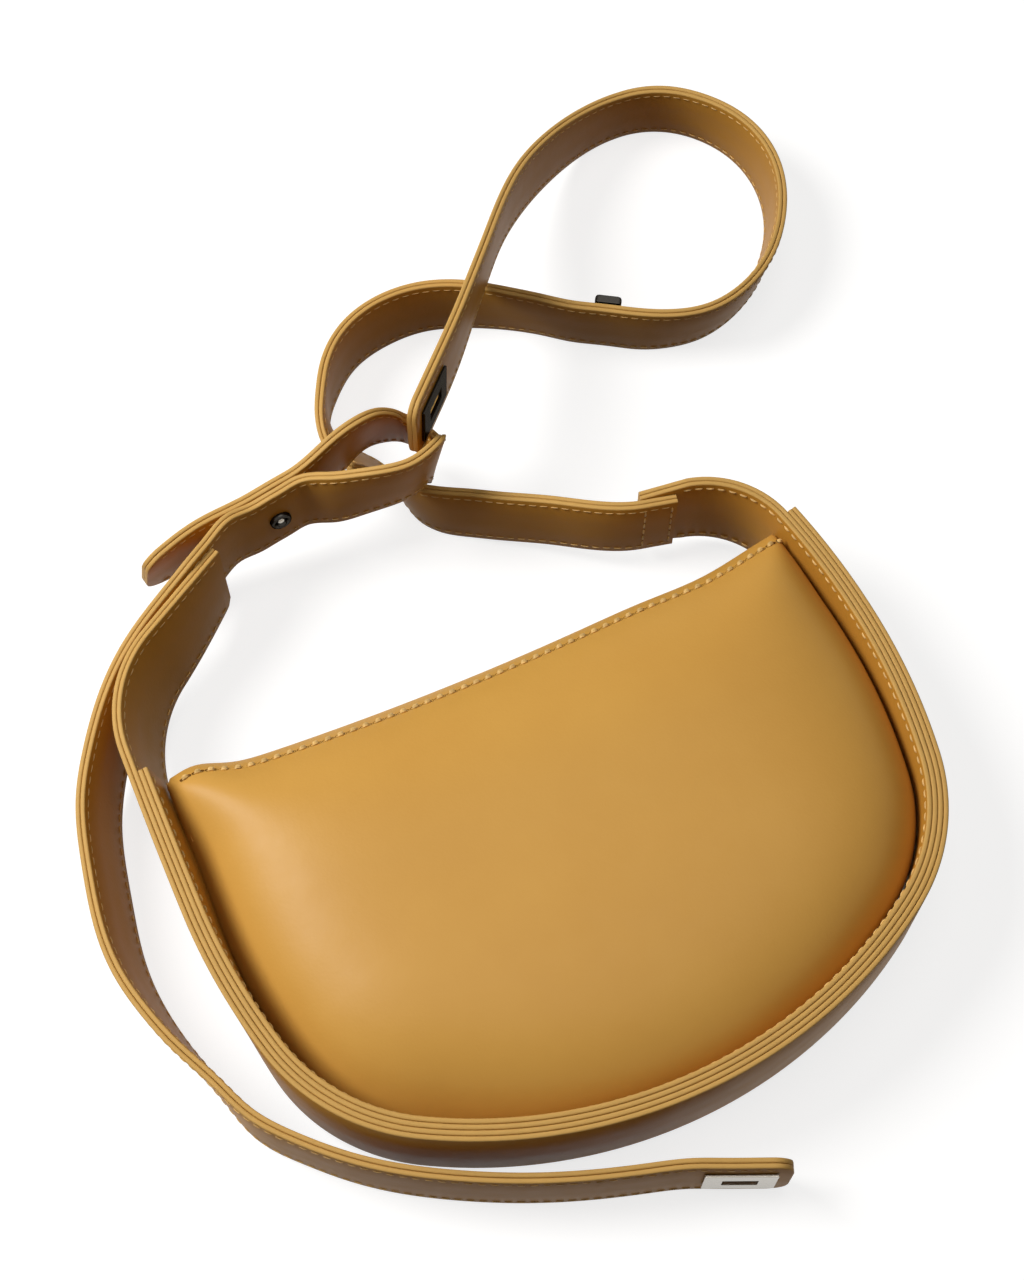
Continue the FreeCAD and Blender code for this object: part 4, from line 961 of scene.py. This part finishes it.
def needle_hole():
    """Inside of a needle hole: dull raw leather fibre, painted dark as the shade that falls in the hole.
    """
    material, tree = new_material("Needle hole, raw core with painted shade")
    place = add_node(tree, "ShaderNodeTexCoord").outputs["Object"]
    # Bundles of fibre are about 0.4 mm wide
    bundle = 0.4
    fibre = add_node(tree, "ShaderNodeTexNoise", {}, {"Scale": per_mm(bundle), "Detail": 2.0},
                     {"Vector": place})
    # Painted shade: the shallow hole's fibre is darkened to stand in for the shade inside a needle hole
    tone = add_node(tree, "ShaderNodeMix", {"data_type": "RGBA"},
                    {MIX_FIRST: rgba(linear("#4A2C0E")), MIX_SECOND: rgba(linear("#6B441A"))},
                    {MIX_FACTOR: fibre.outputs["Fac"]})
    shader = add_node(tree, "ShaderNodeBsdfPrincipled", {}, {"Roughness": 0.9, "Specular IOR Level": 0.1},
                      {"Base Color": tone.outputs[MIX_RESULT]})
    add_node(tree, "ShaderNodeOutputMaterial", links={"Surface": shader.outputs["BSDF"]})
    return material


def woven_cloth(name, colour, thread_spacing):
    """Plain weave of spun polyester: a grid of over and under threads, dull with a little fuzz."""
    material, tree = new_material(name)
    place = add_node(tree, "ShaderNodeTexCoord").outputs["Object"]
    # The weave is drawn 2 pi times as coarse as its threads lie, so that it shows, and fuzz lies in tufts
    # of 3 mm
    scale = per_mm(thread_spacing) / WAVE_RADIANS
    tuft, under, over = 3, 0.55, 1.25
    warp, weft = (add_node(tree, "ShaderNodeTexWave", {"bands_direction": axis}, {"Scale": scale},
                           {"Vector": place}) for axis in ("X", "Y"))
    weave = add_node(tree, "ShaderNodeMath", {"operation": "MAXIMUM"}, {},
                     {0: warp.outputs["Fac"], 1: weft.outputs["Fac"]})
    fuzz = add_node(tree, "ShaderNodeTexNoise", {}, {"Scale": per_mm(tuft), "Detail": 4.0},
                    {"Vector": place})
    blend = add_node(tree, "ShaderNodeMath", {"operation": "MULTIPLY"}, {},
                     {0: weave.outputs[0], 1: fuzz.outputs["Fac"]})
    # Threads that lie over are painted lighter and threads that lie under darker: painted light and shade
    # on the weave, broken up by the fuzz
    tone = add_node(tree, "ShaderNodeMix", {"data_type": "RGBA"},
                    {MIX_FIRST: rgba(colour, under), MIX_SECOND: rgba(colour, over)},
                    {MIX_FACTOR: blend.outputs[0]})
    cloth = add_node(tree, "ShaderNodeBump", {}, {"Strength": 0.5, "Distance": 0.2 * MM},
                     {"Height": weave.outputs[0]})
    shader = add_node(tree, "ShaderNodeBsdfPrincipled", {},
                      {"Roughness": 0.85, "Specular IOR Level": 0.15, "Sheen Weight": 0.2},
                      {"Base Color": tone.outputs[MIX_RESULT], "Normal": cloth.outputs["Normal"]})
    add_node(tree, "ShaderNodeOutputMaterial", links={"Surface": shader.outputs["BSDF"]})
    return material


def plated_metal(name, colour, rim_tint):
    """Zinc castings plated with nickel: mirror-like, with hairline scratches of wear. Given a dark
    colour, it is the same nickel painted dark, a painted dark reflection.
    """
    material, tree = new_material(name)
    place = add_node(tree, "ShaderNodeTexCoord").outputs["Object"]
    # Hairlines are 5 mm long, and are drawn about 0.4 mm wide so that they show
    hair, fineness, worn = 5, 12, 0.82
    stretch = add_node(tree, "ShaderNodeMapping", {}, {"Scale": (1, fineness, fineness)},
                       {"Vector": place})
    hairs = add_node(tree, "ShaderNodeTexNoise", {},
                     {"Scale": per_mm(hair), "Detail": 6.0, "Roughness": 0.7},
                     {"Vector": stretch.outputs["Vector"]})
    gloss = add_node(tree, "ShaderNodeMapRange", {}, {"To Min": 0.14, "To Max": 0.34},
                     {"Value": hairs.outputs["Fac"]})
    scratch = add_node(tree, "ShaderNodeBump", {}, {"Strength": 0.08, "Distance": 0.05 * MM},
                       {"Height": hairs.outputs["Fac"]})
    tone = add_node(tree, "ShaderNodeMix", {"data_type": "RGBA"},
                    {MIX_FIRST: rgba(colour, worn), MIX_SECOND: rgba(colour)},
                    {MIX_FACTOR: hairs.outputs["Fac"]})
    shader = add_node(tree, "ShaderNodeBsdfPrincipled", {},
                      {"Metallic": 1.0, "Specular Tint": rgba(rim_tint)},
                      {"Base Color": tone.outputs[MIX_RESULT], "Roughness": gloss.outputs["Result"],
                       "Normal": scratch.outputs["Normal"]})
    add_node(tree, "ShaderNodeOutputMaterial", links={"Surface": shader.outputs["BSDF"]})
    return material


# Gloss of the leathers, its tint, the tint of the platings seen at a slant, and the spacing of threads in
# the cloths, in millimetres
WHITE = linear("#FFFFFF")
COATED_GLOSS = 0.26
MATT_GLOSS = 0.09
MATT_GLOSS_TINT = linear("#FFE1BC")
PAINTED_DARK_NICKEL_RIM = linear("#959390")
LINING_THREADS = 0.5
TAPE_THREADS = 0.4

MATERIALS = {}


def material(key):
    """The handbag's materials, each made once."""
    colours = bpy.context.scene.handbag_colours
    makers = {
        "leather": lambda: coated_leather("Coated split leather, tan", colours.leather,
                                          colours.leather_deep, COATED_GLOSS, WHITE),
        # Bands and straps: the panels' leather painted darker, as painted shade
        "matt_leather_painted_shade": lambda: coated_leather("Matt split leather, tan darkened as painted shade", colours.strap,
                                               colours.strap_deep, MATT_GLOSS, MATT_GLOSS_TINT),
        "edge": lambda: edge_paint(colours),
        "thread": lambda: polyester_thread(colours),
        "hole": needle_hole,
        "lining": lambda: woven_cloth("Polyester lining cloth, brown", colours.lining, LINING_THREADS),
        "tape": lambda: woven_cloth("Woven polyester zip tape, tan", colours.tape, TAPE_THREADS),
        "nickel": lambda: plated_metal("Nickel-plated zinc", colours.nickel, WHITE),
        # The same nickel painted dark: a painted dark reflection
        "nickel_with_painted_dark_reflection": lambda: plated_metal("Nickel-plated zinc, painted dark reflection", colours.nickel_with_painted_dark_reflection,
                                             PAINTED_DARK_NICKEL_RIM),
    }
    if key not in MATERIALS:
        MATERIALS[key] = makers[key]()
    return MATERIALS[key]


def strip_paints():
    """Materials of a strip, in the order of FACE and EDGE."""
    return [material("matt_leather_painted_shade"), material("edge")]


def thread_paints():
    """Materials of a row of stitches, in the order of THREAD_PAINT and HOLE_PAINT."""
    return [material("thread"), material("hole")]


# Operators

class HANDBAG_OT_bands(bpy.types.Operator):
    """Makes the two double bands of the rim, which run on as the tabs."""

    bl_idname = "handbag.bands"
    bl_label = "Rim bands"

    def execute(self, context):
        sizes = context.scene.handbag_sizes
        edge_round = sizes.edge_round / MM
        pitch = BAND_LAYER + GLUE_LINE
        outer = rim_line((RIGHT_SIDE_STEP, 0.0), (LEFT_TAB_STEP, 1.0))
        lean_rim(outer, TAB_LENGTH)
        from_end = outer.length() - outer.run
        inside = np.clip(LEFT_TAB_ROUND - from_end, 0, LEFT_TAB_ROUND)
        outer.bottom -= LEFT_TAB_ROUND - np.sqrt(LEFT_TAB_ROUND ** 2 - inside ** 2)
        inner = rim_line((RIGHT_TAB_STEP, 0.0), (LEFT_LEAD_STEP, INNER_BAND_LEAD / LEFT_TAB[0]))
        lean_rim(inner, 0)
        taper = RIGHT_TAB_TAPER * np.clip(1 - inner.run / RIGHT_TAB[0], 0, 1)
        inner.top -= taper
        inner.bottom -= taper
        bands = (("outer_band_leather", outer, 0, ("outer_band_outside", "outer_band_inside")),
                 ("inner_band_leather", inner, 2, ("inner_band_outside", "inner_band_inside")))
        for name, line, first, nodes in bands:
            pieces = Pieces()
            for number in (first, first + 1):
                add_layer(pieces, line, number * pitch, number * pitch + BAND_LAYER, edge_round)
            band = pieces.make(name, strip_paints())
            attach(band, "bag")
            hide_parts(*nodes)
        self.sew(outer, inner, sizes)
        return {"FINISHED"}

    def sew(self, outer, inner, sizes):
        """Rows of stitches inside the rim and along the left tab."""
        rows = Pieces()
        level = BAND_WIDTH / 2 - sizes.stitch_margin / MM
        tab_start = outer.length() - TAB_LENGTH
        inside = 2 * BAND_LAYER + GLUE_LINE
        for width in (level, -level):
            stitch_row(rows, inner, RIM_DEPTH, width, RIGHT_SEWN + BAND_ROW_GAP,
                       inner.length() - BAND_ROW_GAP, sizes, 1, sizes.thread)
            end = outer.length() - (BAND_ROW_GAP if width > 0 else LEFT_TAB_ROUND)
            stitch_row(rows, outer, inside, width, tab_start, end, sizes, 1, sizes.fine_thread)
        stitching = rows.make("rim_stitching", thread_paints())
        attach(stitching, "bag")


class HANDBAG_OT_panels(bpy.types.Operator):
    """Makes the crowned front and back panels and the stitched hem of the mouth."""

    bl_idname = "handbag.panels"
    bl_label = "Panels"

    def execute(self, context):
        sizes = context.scene.handbag_sizes
        rows = Pieces()
        for side, height, seam in PANEL_SIDES:
            panel = panel_piece(side + "_panel_leather", height, seam, 0.0, MOUTH_LIP, PANEL_THICKNESS,
                                material("leather"))
            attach(panel, "bag")
            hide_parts(side + "_panel")
            self.hem(rows, height, sizes, 1 if side == "front" else -1)
        stitching = rows.make("mouth_stitching", thread_paints())
        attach(stitching, "bag")
        return {"FINISHED"}

    def hem(self, rows, height, sizes, outwards):
        """One row of stitches along the mouth, a hem's width below its edge."""
        half = HALF_WIDTH - PANEL_INSET - HEM_GAP
        across = np.linspace(-half + HEM_LEFT_GAP, half, HEM_POINTS)
        path = np.column_stack((across, mouth_level(across) - sizes.hem / MM))
        path = np.column_stack((path, height(path, 0.0)))
        steps = run_along(path)
        pitch = sizes.hem_pitch / MM
        count = int(steps[-1] / pitch)
        spots = (np.arange(count) + 0.5) * steps[-1] / count
        places = between(spots, steps, path)
        tangents = between(spots, steps, np.gradient(path, steps, axis=0))
        reach = np.array((0, HEM_SLOPE_REACH))
        rise = height(places[:, :2] + reach, 0.0) - height(places[:, :2] - reach, 0.0)
        climb = np.column_stack((np.zeros(count), np.ones(count), rise / (2 * HEM_SLOPE_REACH)))
        normals = np.cross(tangents, climb) * outwards
        add_stitches(rows, places, tangents, normals, pitch * HEM_STITCH_SHARE, sizes.hem_thread / MM,
                     True)


# Slip pocket: points across and up, belly and its curves across and up, lift and start of its hem
POCKET_POINTS = (43, 25)
POCKET_BELLY = 1.6
POCKET_CURVES = (0.7, 0.8)
POCKET_HEM = 0.35
POCKET_HEM_START = 0.86
POCKET_THICKNESS = 0.7


def box_in_mm(node):
    """Low and high corner of a node of the frame."""
    return [np.array(corner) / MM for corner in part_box(node)]


class HANDBAG_OT_lining(bpy.types.Operator):
    """Makes the lining cloth of both sides and the slip pocket on the back."""

    bl_idname = "handbag.lining"
    bl_label = "Lining"

    def execute(self, context):
        skin = PANEL_THICKNESS + LINING_GAP
        for side, height, seam in PANEL_SIDES:
            lining = panel_piece(side + "_lining_cloth", height, seam, skin, MOUTH_LIP + skin,
                                 LINING_THICKNESS, material("lining"))
            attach(lining, "bag")
            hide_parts(side + "_lining")
        self.pocket()
        return {"FINISHED"}

    def pocket(self):
        """Slip pocket: a cloth patch that bellies out below its hemmed top edge."""
        low, high = box_in_mm("slip_pocket")
        columns, rows = POCKET_POINTS
        share_x, share_y = np.meshgrid(np.linspace(0, 1, columns), np.linspace(0, 1, rows))
        belly = POCKET_BELLY * np.sin(math.pi * share_x) ** POCKET_CURVES[0]
        belly *= np.sin(math.pi / 2 * share_y) ** POCKET_CURVES[1]
        level = high[2] + belly + POCKET_HEM * (share_y > POCKET_HEM_START)
        across = low[0] + (high[0] - low[0]) * share_x
        up = low[1] + (high[1] - low[1]) * share_y
        pieces = Pieces()
        pieces.add_points(np.stack((across, up, level), axis=2))
        pieces.add_sheet(rows, columns)
        pocket = pieces.make("slip_pocket_cloth", [material("lining")])
        face_towards(pocket, 1)
        thickened(pocket, POCKET_THICKNESS)
        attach(pocket, "bag")
        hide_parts("slip_pocket")


# Mouth: points along the facings and tapes, rows across them, size and height of their waves, and the
# facings' gap to the rim
FACING_POINTS = 160
TAPE_POINTS = 140
SHEET_ROWS = 8
SHEET_WAVE = 14.0
FACING_WAVE = 0.12
TAPE_WAVE = 0.05
FACING_GAP = 0.8


class HANDBAG_OT_mouth(bpy.types.Operator):
    """Makes the folded leather facings of the mouth and the zip's woven tapes."""

    bl_idname = "handbag.mouth"
    bl_label = "Mouth facings and tapes"

    def execute(self, context):
        for side in ("front", "back"):
            self.facing(side)
            self.tape(side)
        return {"FINISHED"}

    def sheet(self, name, low_edge, high_edge, low, high, wave, paint):
        """Strip between two edges, gently waved, thickened downwards from its highest level."""
        pieces = Pieces()
        for row in range(SHEET_ROWS + 1):
            edge = low_edge + (high_edge - low_edge) * row / SHEET_ROWS
            lift = wave * np.sin(edge[:, 0] / SHEET_WAVE) * math.sin(math.pi * row / SHEET_ROWS)
            pieces.add_points(np.column_stack((edge, high + lift)))
        pieces.add_sheet(SHEET_ROWS + 1, len(low_edge))
        strip = pieces.make(name, [paint])
        face_towards(strip, 1)
        return thickened(strip, high - low)

    def facing(self, side):
        """Folded hem of leather inside the mouth's edge, clear of the leaning rim."""
        node = side + "_facing"
        low, high = box_in_mm(node)
        lean_room = (BAND_LOW + BAND_WIDTH - low[2]) * math.tan(rim_lean(RIM_SAMPLES, 0)[-1])
        across = np.linspace(low[0] + FACING_GAP + lean_room, high[0] - FACING_GAP, FACING_POINTS)
        top = np.column_stack((across, mouth_level(across) - MOUTH_LIP))
        bottom = np.column_stack((across, np.full(len(across), low[1])))
        facing = self.sheet(side + "_facing_leather", bottom, top, low[2], high[2], FACING_WAVE,
                            material("leather"))
        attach(facing, "bag")
        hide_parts(node)

    def tape(self, side):
        """Woven tape that carries one row of the zip's teeth."""
        node = "zip_tape_" + side
        low, high = box_in_mm(node)
        across = np.linspace(low[0], high[0], TAPE_POINTS)
        bottom, top = (np.column_stack((across, np.full(len(across), up))) for up in (low[1], high[1]))
        tape = self.sheet(side + "_zip_tape_cloth", bottom, top, low[2], high[2], TAPE_WAVE,
                          material("tape"))
        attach(tape, "bag")
        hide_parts(node)


# Metal nodes with the round of their edges and their plating
ZIP_METAL = (("zip_teeth_front", 0.35, "nickel"), ("zip_teeth_back", 0.35, "nickel"),
             ("zip_end_stops", 0.35, "nickel"), ("zip_slider", 0.25, "nickel"),
             ("zip_pull", 0.25, "nickel"))
# The strap's eyelet, the lock and the rivet's ring are the same nickel as the rest, painted dark as a
# painted dark reflection
HARDWARE = (("belt_eyelet_front", 0.3, "nickel"), ("belt_eyelet_back", 0.3, "nickel"),
            ("strap_eyelet_front", 0.3, "nickel_with_painted_dark_reflection"), ("strap_eyelet_back", 0.3, "nickel_with_painted_dark_reflection"),
            ("lock_plate", 0.35, "nickel_with_painted_dark_reflection"), ("lock_post", 0.2, "nickel_with_painted_dark_reflection"),
            ("lock_knob", 1.0, "nickel_with_painted_dark_reflection"), ("rivet_post", 0.7, "nickel_with_painted_dark_reflection"))
WELD_GAP = 0.002
ROUND_SEGMENTS = 3
ROUND_FROM = math.radians(40)


def polish(node, edge_round, plating):
    """Rounds a metal node's edges and plates it."""
    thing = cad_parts[node]
    thing.data.materials.clear()
    thing.data.materials.append(material(plating))
    weld = thing.modifiers.new("Weld", "WELD")
    weld.merge_threshold = WELD_GAP * MM
    rounds = thing.modifiers.new("Rounded edges", "BEVEL")
    rounds.width = edge_round * MM
    rounds.segments = ROUND_SEGMENTS
    rounds.limit_method = "ANGLE"
    rounds.angle_limit = ROUND_FROM
    rounds.harden_normals = True


class HANDBAG_OT_zip(bpy.types.Operator):
    """Finishes the zip's teeth, end stops, slider and pull."""

    bl_idname = "handbag.zip"
    bl_label = "Zip"

    def execute(self, context):
        for node, edge_round, plating in ZIP_METAL:
            polish(node, edge_round, plating)
        return {"FINISHED"}


class HANDBAG_OT_straps(bpy.types.Operator):
    """Makes the right strap and the left belt with its tail, in two glued and sewn layers."""

    bl_idname = "handbag.straps"
    bl_label = "Straps"

    def execute(self, context):
        sizes = context.scene.handbag_sizes
        right = strap_line(right_route(), False, True)
        left = strap_line(left_route(), True, True)
        strap = self.strap("right_strap_leather", right, sizes)
        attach(strap, "bag")
        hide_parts("right_strap_outer", "right_strap_inner")
        belt = self.strap("left_belt_leather", left, sizes)
        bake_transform(belt)
        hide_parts("left_belt_outer", "left_belt_inner", "belt_tail_outer", "belt_tail_inner")
        rows = self.edge_rows(right, STRAP_ROW_GAPS, sizes)
        reach = STRAP_HALF - sizes.stitch_margin / MM
        for spot in CROSS_ROWS:
            cross_row(rows, right, -STRAP_THICKNESS / 2, spot, reach, sizes, -1)
        strap_stitching = rows.make("right_strap_stitching", thread_paints())
        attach(strap_stitching, "bag")
        rows = self.edge_rows(left, BELT_ROW_GAPS, sizes)
        belt_stitching = rows.make("left_belt_stitching", thread_paints())
        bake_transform(belt_stitching)
        return {"FINISHED"}

    def strap(self, name, line, sizes):
        """Two glued layers with a window near their free end."""
        pieces = Pieces()
        window = line.length() - EYELET_BACK
        hole = (window - WINDOW_LENGTH / 2, window + WINDOW_LENGTH / 2)
        for near in (-STRAP_THICKNESS / 2, GLUE_LINE / 2):
            add_layer(pieces, line, near, near + STRAP_LAYER, sizes.edge_round / MM, hole)
        return pieces.make(name, strip_paints())

    def edge_rows(self, line, gaps, sizes):
        """Rows of stitches along both edges of both faces."""
        rows = Pieces()
        level = STRAP_HALF - sizes.stitch_margin / MM
        for face in (-1, 1):
            for width in (level, -level):
                stitch_row(rows, line, face * STRAP_THICKNESS / 2, width, gaps[0],
                           line.length() - gaps[1], sizes, face, sizes.fine_thread)
        return rows


# Section of the rivet's head, from its middle out: radius and height above the leather
RIVET_PROFILE = ((0.25, 1.2), (0.7, 1.12), (1.1, 0.9), (1.3, 0.5), (1.55, 0.5), (1.8, 1.05), (2.2, 1.45),
                 (2.7, 1.6), (3.1, 1.45), (3.4, 1.0), (3.5, 0.4), (3.5, 0.0))
RIVET_DOME = 1.3
RIVET_HEIGHT = 1.6
RIVET_SIDES = 48
# Paints of the rivet: bright nickel for the middle, and nickel painted dark for the ring, a painted dark
# reflection
BRIGHT = 0
PAINTED_DARK_RING = 1


class HANDBAG_OT_hardware(bpy.types.Operator):
    """Finishes the eyelet plates, the belt's rivet and the turn lock."""

    bl_idname = "handbag.hardware"
    bl_label = "Hardware"

    def execute(self, context):
        for node, edge_round, plating in HARDWARE:
            polish(node, edge_round, plating)
        self.rivet()
        return {"FINISHED"}

    def rivet(self):
        """Tubular rivet: a rolled ring of nickel painted dark, a painted dark reflection, round a bright
        domed middle.
        """
        low, high = box_in_mm("rivet_cap")
        out = np.array((*heading(RIVET_TURN - 90), 0.0))
        side = np.array((*heading(RIVET_TURN), 0.0))
        up = np.array((0.0, 0.0, 1.0))
        foot = (low + high) / 2 - out * RIVET_HEIGHT / 2
        pieces = Pieces()
        turns = np.arange(RIVET_SIDES) * 2 * math.pi / RIVET_SIDES
        rim = np.outer(np.cos(turns), side) + np.outer(np.sin(turns), up)
        for radius, height in RIVET_PROFILE:
            pieces.add_points(foot + out * height + rim * radius)
        for row in range(len(RIVET_PROFILE) - 1):
            paint = BRIGHT if RIVET_PROFILE[row + 1][0] <= RIVET_DOME else PAINTED_DARK_RING
            pieces.add_tube(row * RIVET_SIDES, 2, RIVET_SIDES, paint)
        pieces.add_face(range(RIVET_SIDES), BRIGHT)
        last = (len(RIVET_PROFILE) - 1) * RIVET_SIDES
        pieces.add_face(range(last, last + RIVET_SIDES), PAINTED_DARK_RING)
        cap = pieces.make("rivet_cap_ring", [material("nickel"), material("nickel_with_painted_dark_reflection")])
        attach(cap, "bag")
        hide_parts("rivet_cap")


# Floor, in millimetres: reach and drop below the bag; strength and share of its glow; the warm, dark tone
# that it throws back on the bag; and the tint of the light from all round
FLOOR_REACH = 4000.0
FLOOR_DROP = 0.05
FLOOR_GLOW = 1.25
FLOOR_GLOW_SHARE = 0.62
FLOOR_BOUNCE = linear("#655037")
AMBIENT_TINT = linear("#FFE4BC")
# Lamps, in metres: name, direction from what they aim at, distance, width and share of the key's power
LAMP_AIM = Vector((0.0, 0.05, 0.03))
LAMPS = (("key", (-0.6, 0.42, 0.8), 1.1, 0.55, 1.0), ("top", (0.15, 0.0, 1.0), 1.3, 0.9, 0.35))
# Camera, in metres, with its lens and sensor in millimetres
CAMERA_PLACE = Vector((-0.1049, -0.1744, 0.5630))
CAMERA_TARGET = Vector((0.0082, 0.068, 0.038))
CAMERA_LENS = 56.25
CAMERA_SENSOR = 36.0
CAMERA_CLIP = 0.01


class HANDBAG_OT_stage(bpy.types.Operator):
    """Makes the pale floor, the soft key light, the light from all round and the camera."""

    bl_idname = "handbag.stage"
    bl_label = "Stage"

    def execute(self, context):
        settings = context.scene.handbag_stage
        self.floor(settings)
        self.world(settings)
        self.lamps(settings)
        self.camera()
        context.scene.view_settings.view_transform = "Standard"
        return {"FINISHED"}

    def seen(self, tree):
        """1 for rays from the camera, and for what metal mirrors or glass lets through."""
        path = add_node(tree, "ShaderNodeLightPath")
        mirrored = add_node(tree, "ShaderNodeMath", {"operation": "MAXIMUM"},
                            links={0: path.outputs["Is Camera Ray"], 1: path.outputs["Is Glossy Ray"]})
        passed = add_node(tree, "ShaderNodeMath", {"operation": "MAXIMUM"},
                          links={0: mirrored.outputs[0], 1: path.outputs["Is Transmission Ray"]})
        return passed.outputs[0]

    def floor(self, settings):
        """Pale floor that the camera and the metal see, with the bag's shadow on it."""
        pieces = Pieces()
        corners = ((-1, -1, 0), (1, -1, 0), (1, 1, 0), (-1, 1, 0))
        pieces.add_points(np.array(corners) * FLOOR_REACH)
        pieces.add_face(range(len(corners)), FACE)
        paint, tree = new_material("Pale painted floor")
        seen = self.seen(tree)
        pale = add_node(tree, "ShaderNodeBsdfDiffuse", {}, {"Color": rgba(settings.floor)})
        glow = add_node(tree, "ShaderNodeEmission", {}, {"Color": rgba(WHITE), "Strength": FLOOR_GLOW})
        shown = add_node(tree, "ShaderNodeMixShader", {}, {0: FLOOR_GLOW_SHARE},
                         {1: pale.outputs["BSDF"], 2: glow.outputs["Emission"]})
        dull = add_node(tree, "ShaderNodeBsdfDiffuse", {}, {"Color": rgba(FLOOR_BOUNCE)})
        both = add_node(tree, "ShaderNodeMixShader",
                        links={0: seen, 1: dull.outputs["BSDF"], 2: shown.outputs["Shader"]})
        add_node(tree, "ShaderNodeOutputMaterial", links={"Surface": both.outputs["Shader"]})
        floor = pieces.make("floor", [paint])
        face_towards(floor, 1)
        floor.location.z = -FLOOR_DROP * MM

    def world(self, settings):
        """White to the camera and the metal, and a faint warm light on the bag."""
        world = bpy.data.worlds.new("Studio")
        world.use_nodes = True
        tree = world.node_tree
        tree.nodes.clear()
        seen = self.seen(tree)
        soft = add_node(tree, "ShaderNodeBackground", {},
                        {"Color": rgba(AMBIENT_TINT), "Strength": settings.ambient})
        white = add_node(tree, "ShaderNodeBackground", {}, {"Color": rgba(WHITE), "Strength": 1.0})
        both = add_node(tree, "ShaderNodeMixShader",
                        links={0: seen, 1: soft.outputs["Background"], 2: white.outputs["Background"]})
        add_node(tree, "ShaderNodeOutputWorld", links={"Surface": both.outputs["Shader"]})
        bpy.context.scene.world = world

    def aimed(self, name, data, place, target):
        """Links a lamp or camera that looks from its place at the target."""
        thing = bpy.data.objects.new(name, data)
        thing.location = place
        thing.rotation_mode = "QUATERNION"
        thing.rotation_quaternion = (target - place).to_track_quat("-Z", "Y")
        bpy.context.scene.collection.objects.link(thing)
        return thing

    def lamps(self, settings):
        """Two soft round lamps."""
        for name, direction, distance, width, share in LAMPS:
            lamp = bpy.data.lights.new(name, "AREA")
            lamp.shape = "DISK"
            lamp.size = width
            lamp.energy = settings.key_power * share
            self.aimed(name, lamp, LAMP_AIM + Vector(direction).normalized() * distance, LAMP_AIM)

    def camera(self):
        """Looks down on the bag from its front left."""
        lens = bpy.data.cameras.new("camera")
        lens.lens = CAMERA_LENS
        lens.sensor_width = CAMERA_SENSOR
        lens.clip_start = CAMERA_CLIP
        bpy.context.scene.camera = self.aimed("camera", lens, CAMERA_PLACE, CAMERA_TARGET)


STEPS = ("stage", "straps", "bands", "panels", "lining", "mouth", "zip", "hardware")


class HANDBAG_PT_steps(bpy.types.Panel):
    """Lists the handbag's sizes, colours and steps."""

    bl_idname = "HANDBAG_PT_steps"
    bl_label = "Saddle handbag"
    bl_space_type = "VIEW_3D"
    bl_region_type = "UI"
    bl_category = "Handbag"

    def draw(self, context):
        scene = context.scene
        for group in (scene.handbag_sizes, scene.handbag_colours, scene.handbag_stage):
            for name in group.bl_rna.properties.keys():
                if name not in ("rna_type", "name"):
                    self.layout.prop(group, name)
        for step in STEPS:
            self.layout.operator("handbag." + step)


CLASSES = (HandbagSizes, HandbagColours, HandbagStage, HANDBAG_OT_bands, HANDBAG_OT_panels,
           HANDBAG_OT_lining, HANDBAG_OT_mouth, HANDBAG_OT_zip, HANDBAG_OT_straps, HANDBAG_OT_hardware,
           HANDBAG_OT_stage, HANDBAG_PT_steps)


def register():
    for entry in CLASSES:
        bpy.utils.register_class(entry)
    bpy.types.Scene.handbag_sizes = bpy.props.PointerProperty(type=HandbagSizes)
    bpy.types.Scene.handbag_colours = bpy.props.PointerProperty(type=HandbagColours)
    bpy.types.Scene.handbag_stage = bpy.props.PointerProperty(type=HandbagStage)


def unregister():
    for name in ("handbag_sizes", "handbag_colours", "handbag_stage"):
        delattr(bpy.types.Scene, name)
    for entry in reversed(CLASSES):
        bpy.utils.unregister_class(entry)


def main():
    register()
    for step in STEPS:
        getattr(bpy.ops.handbag, step)()


if __name__ == "__main__":
    main()
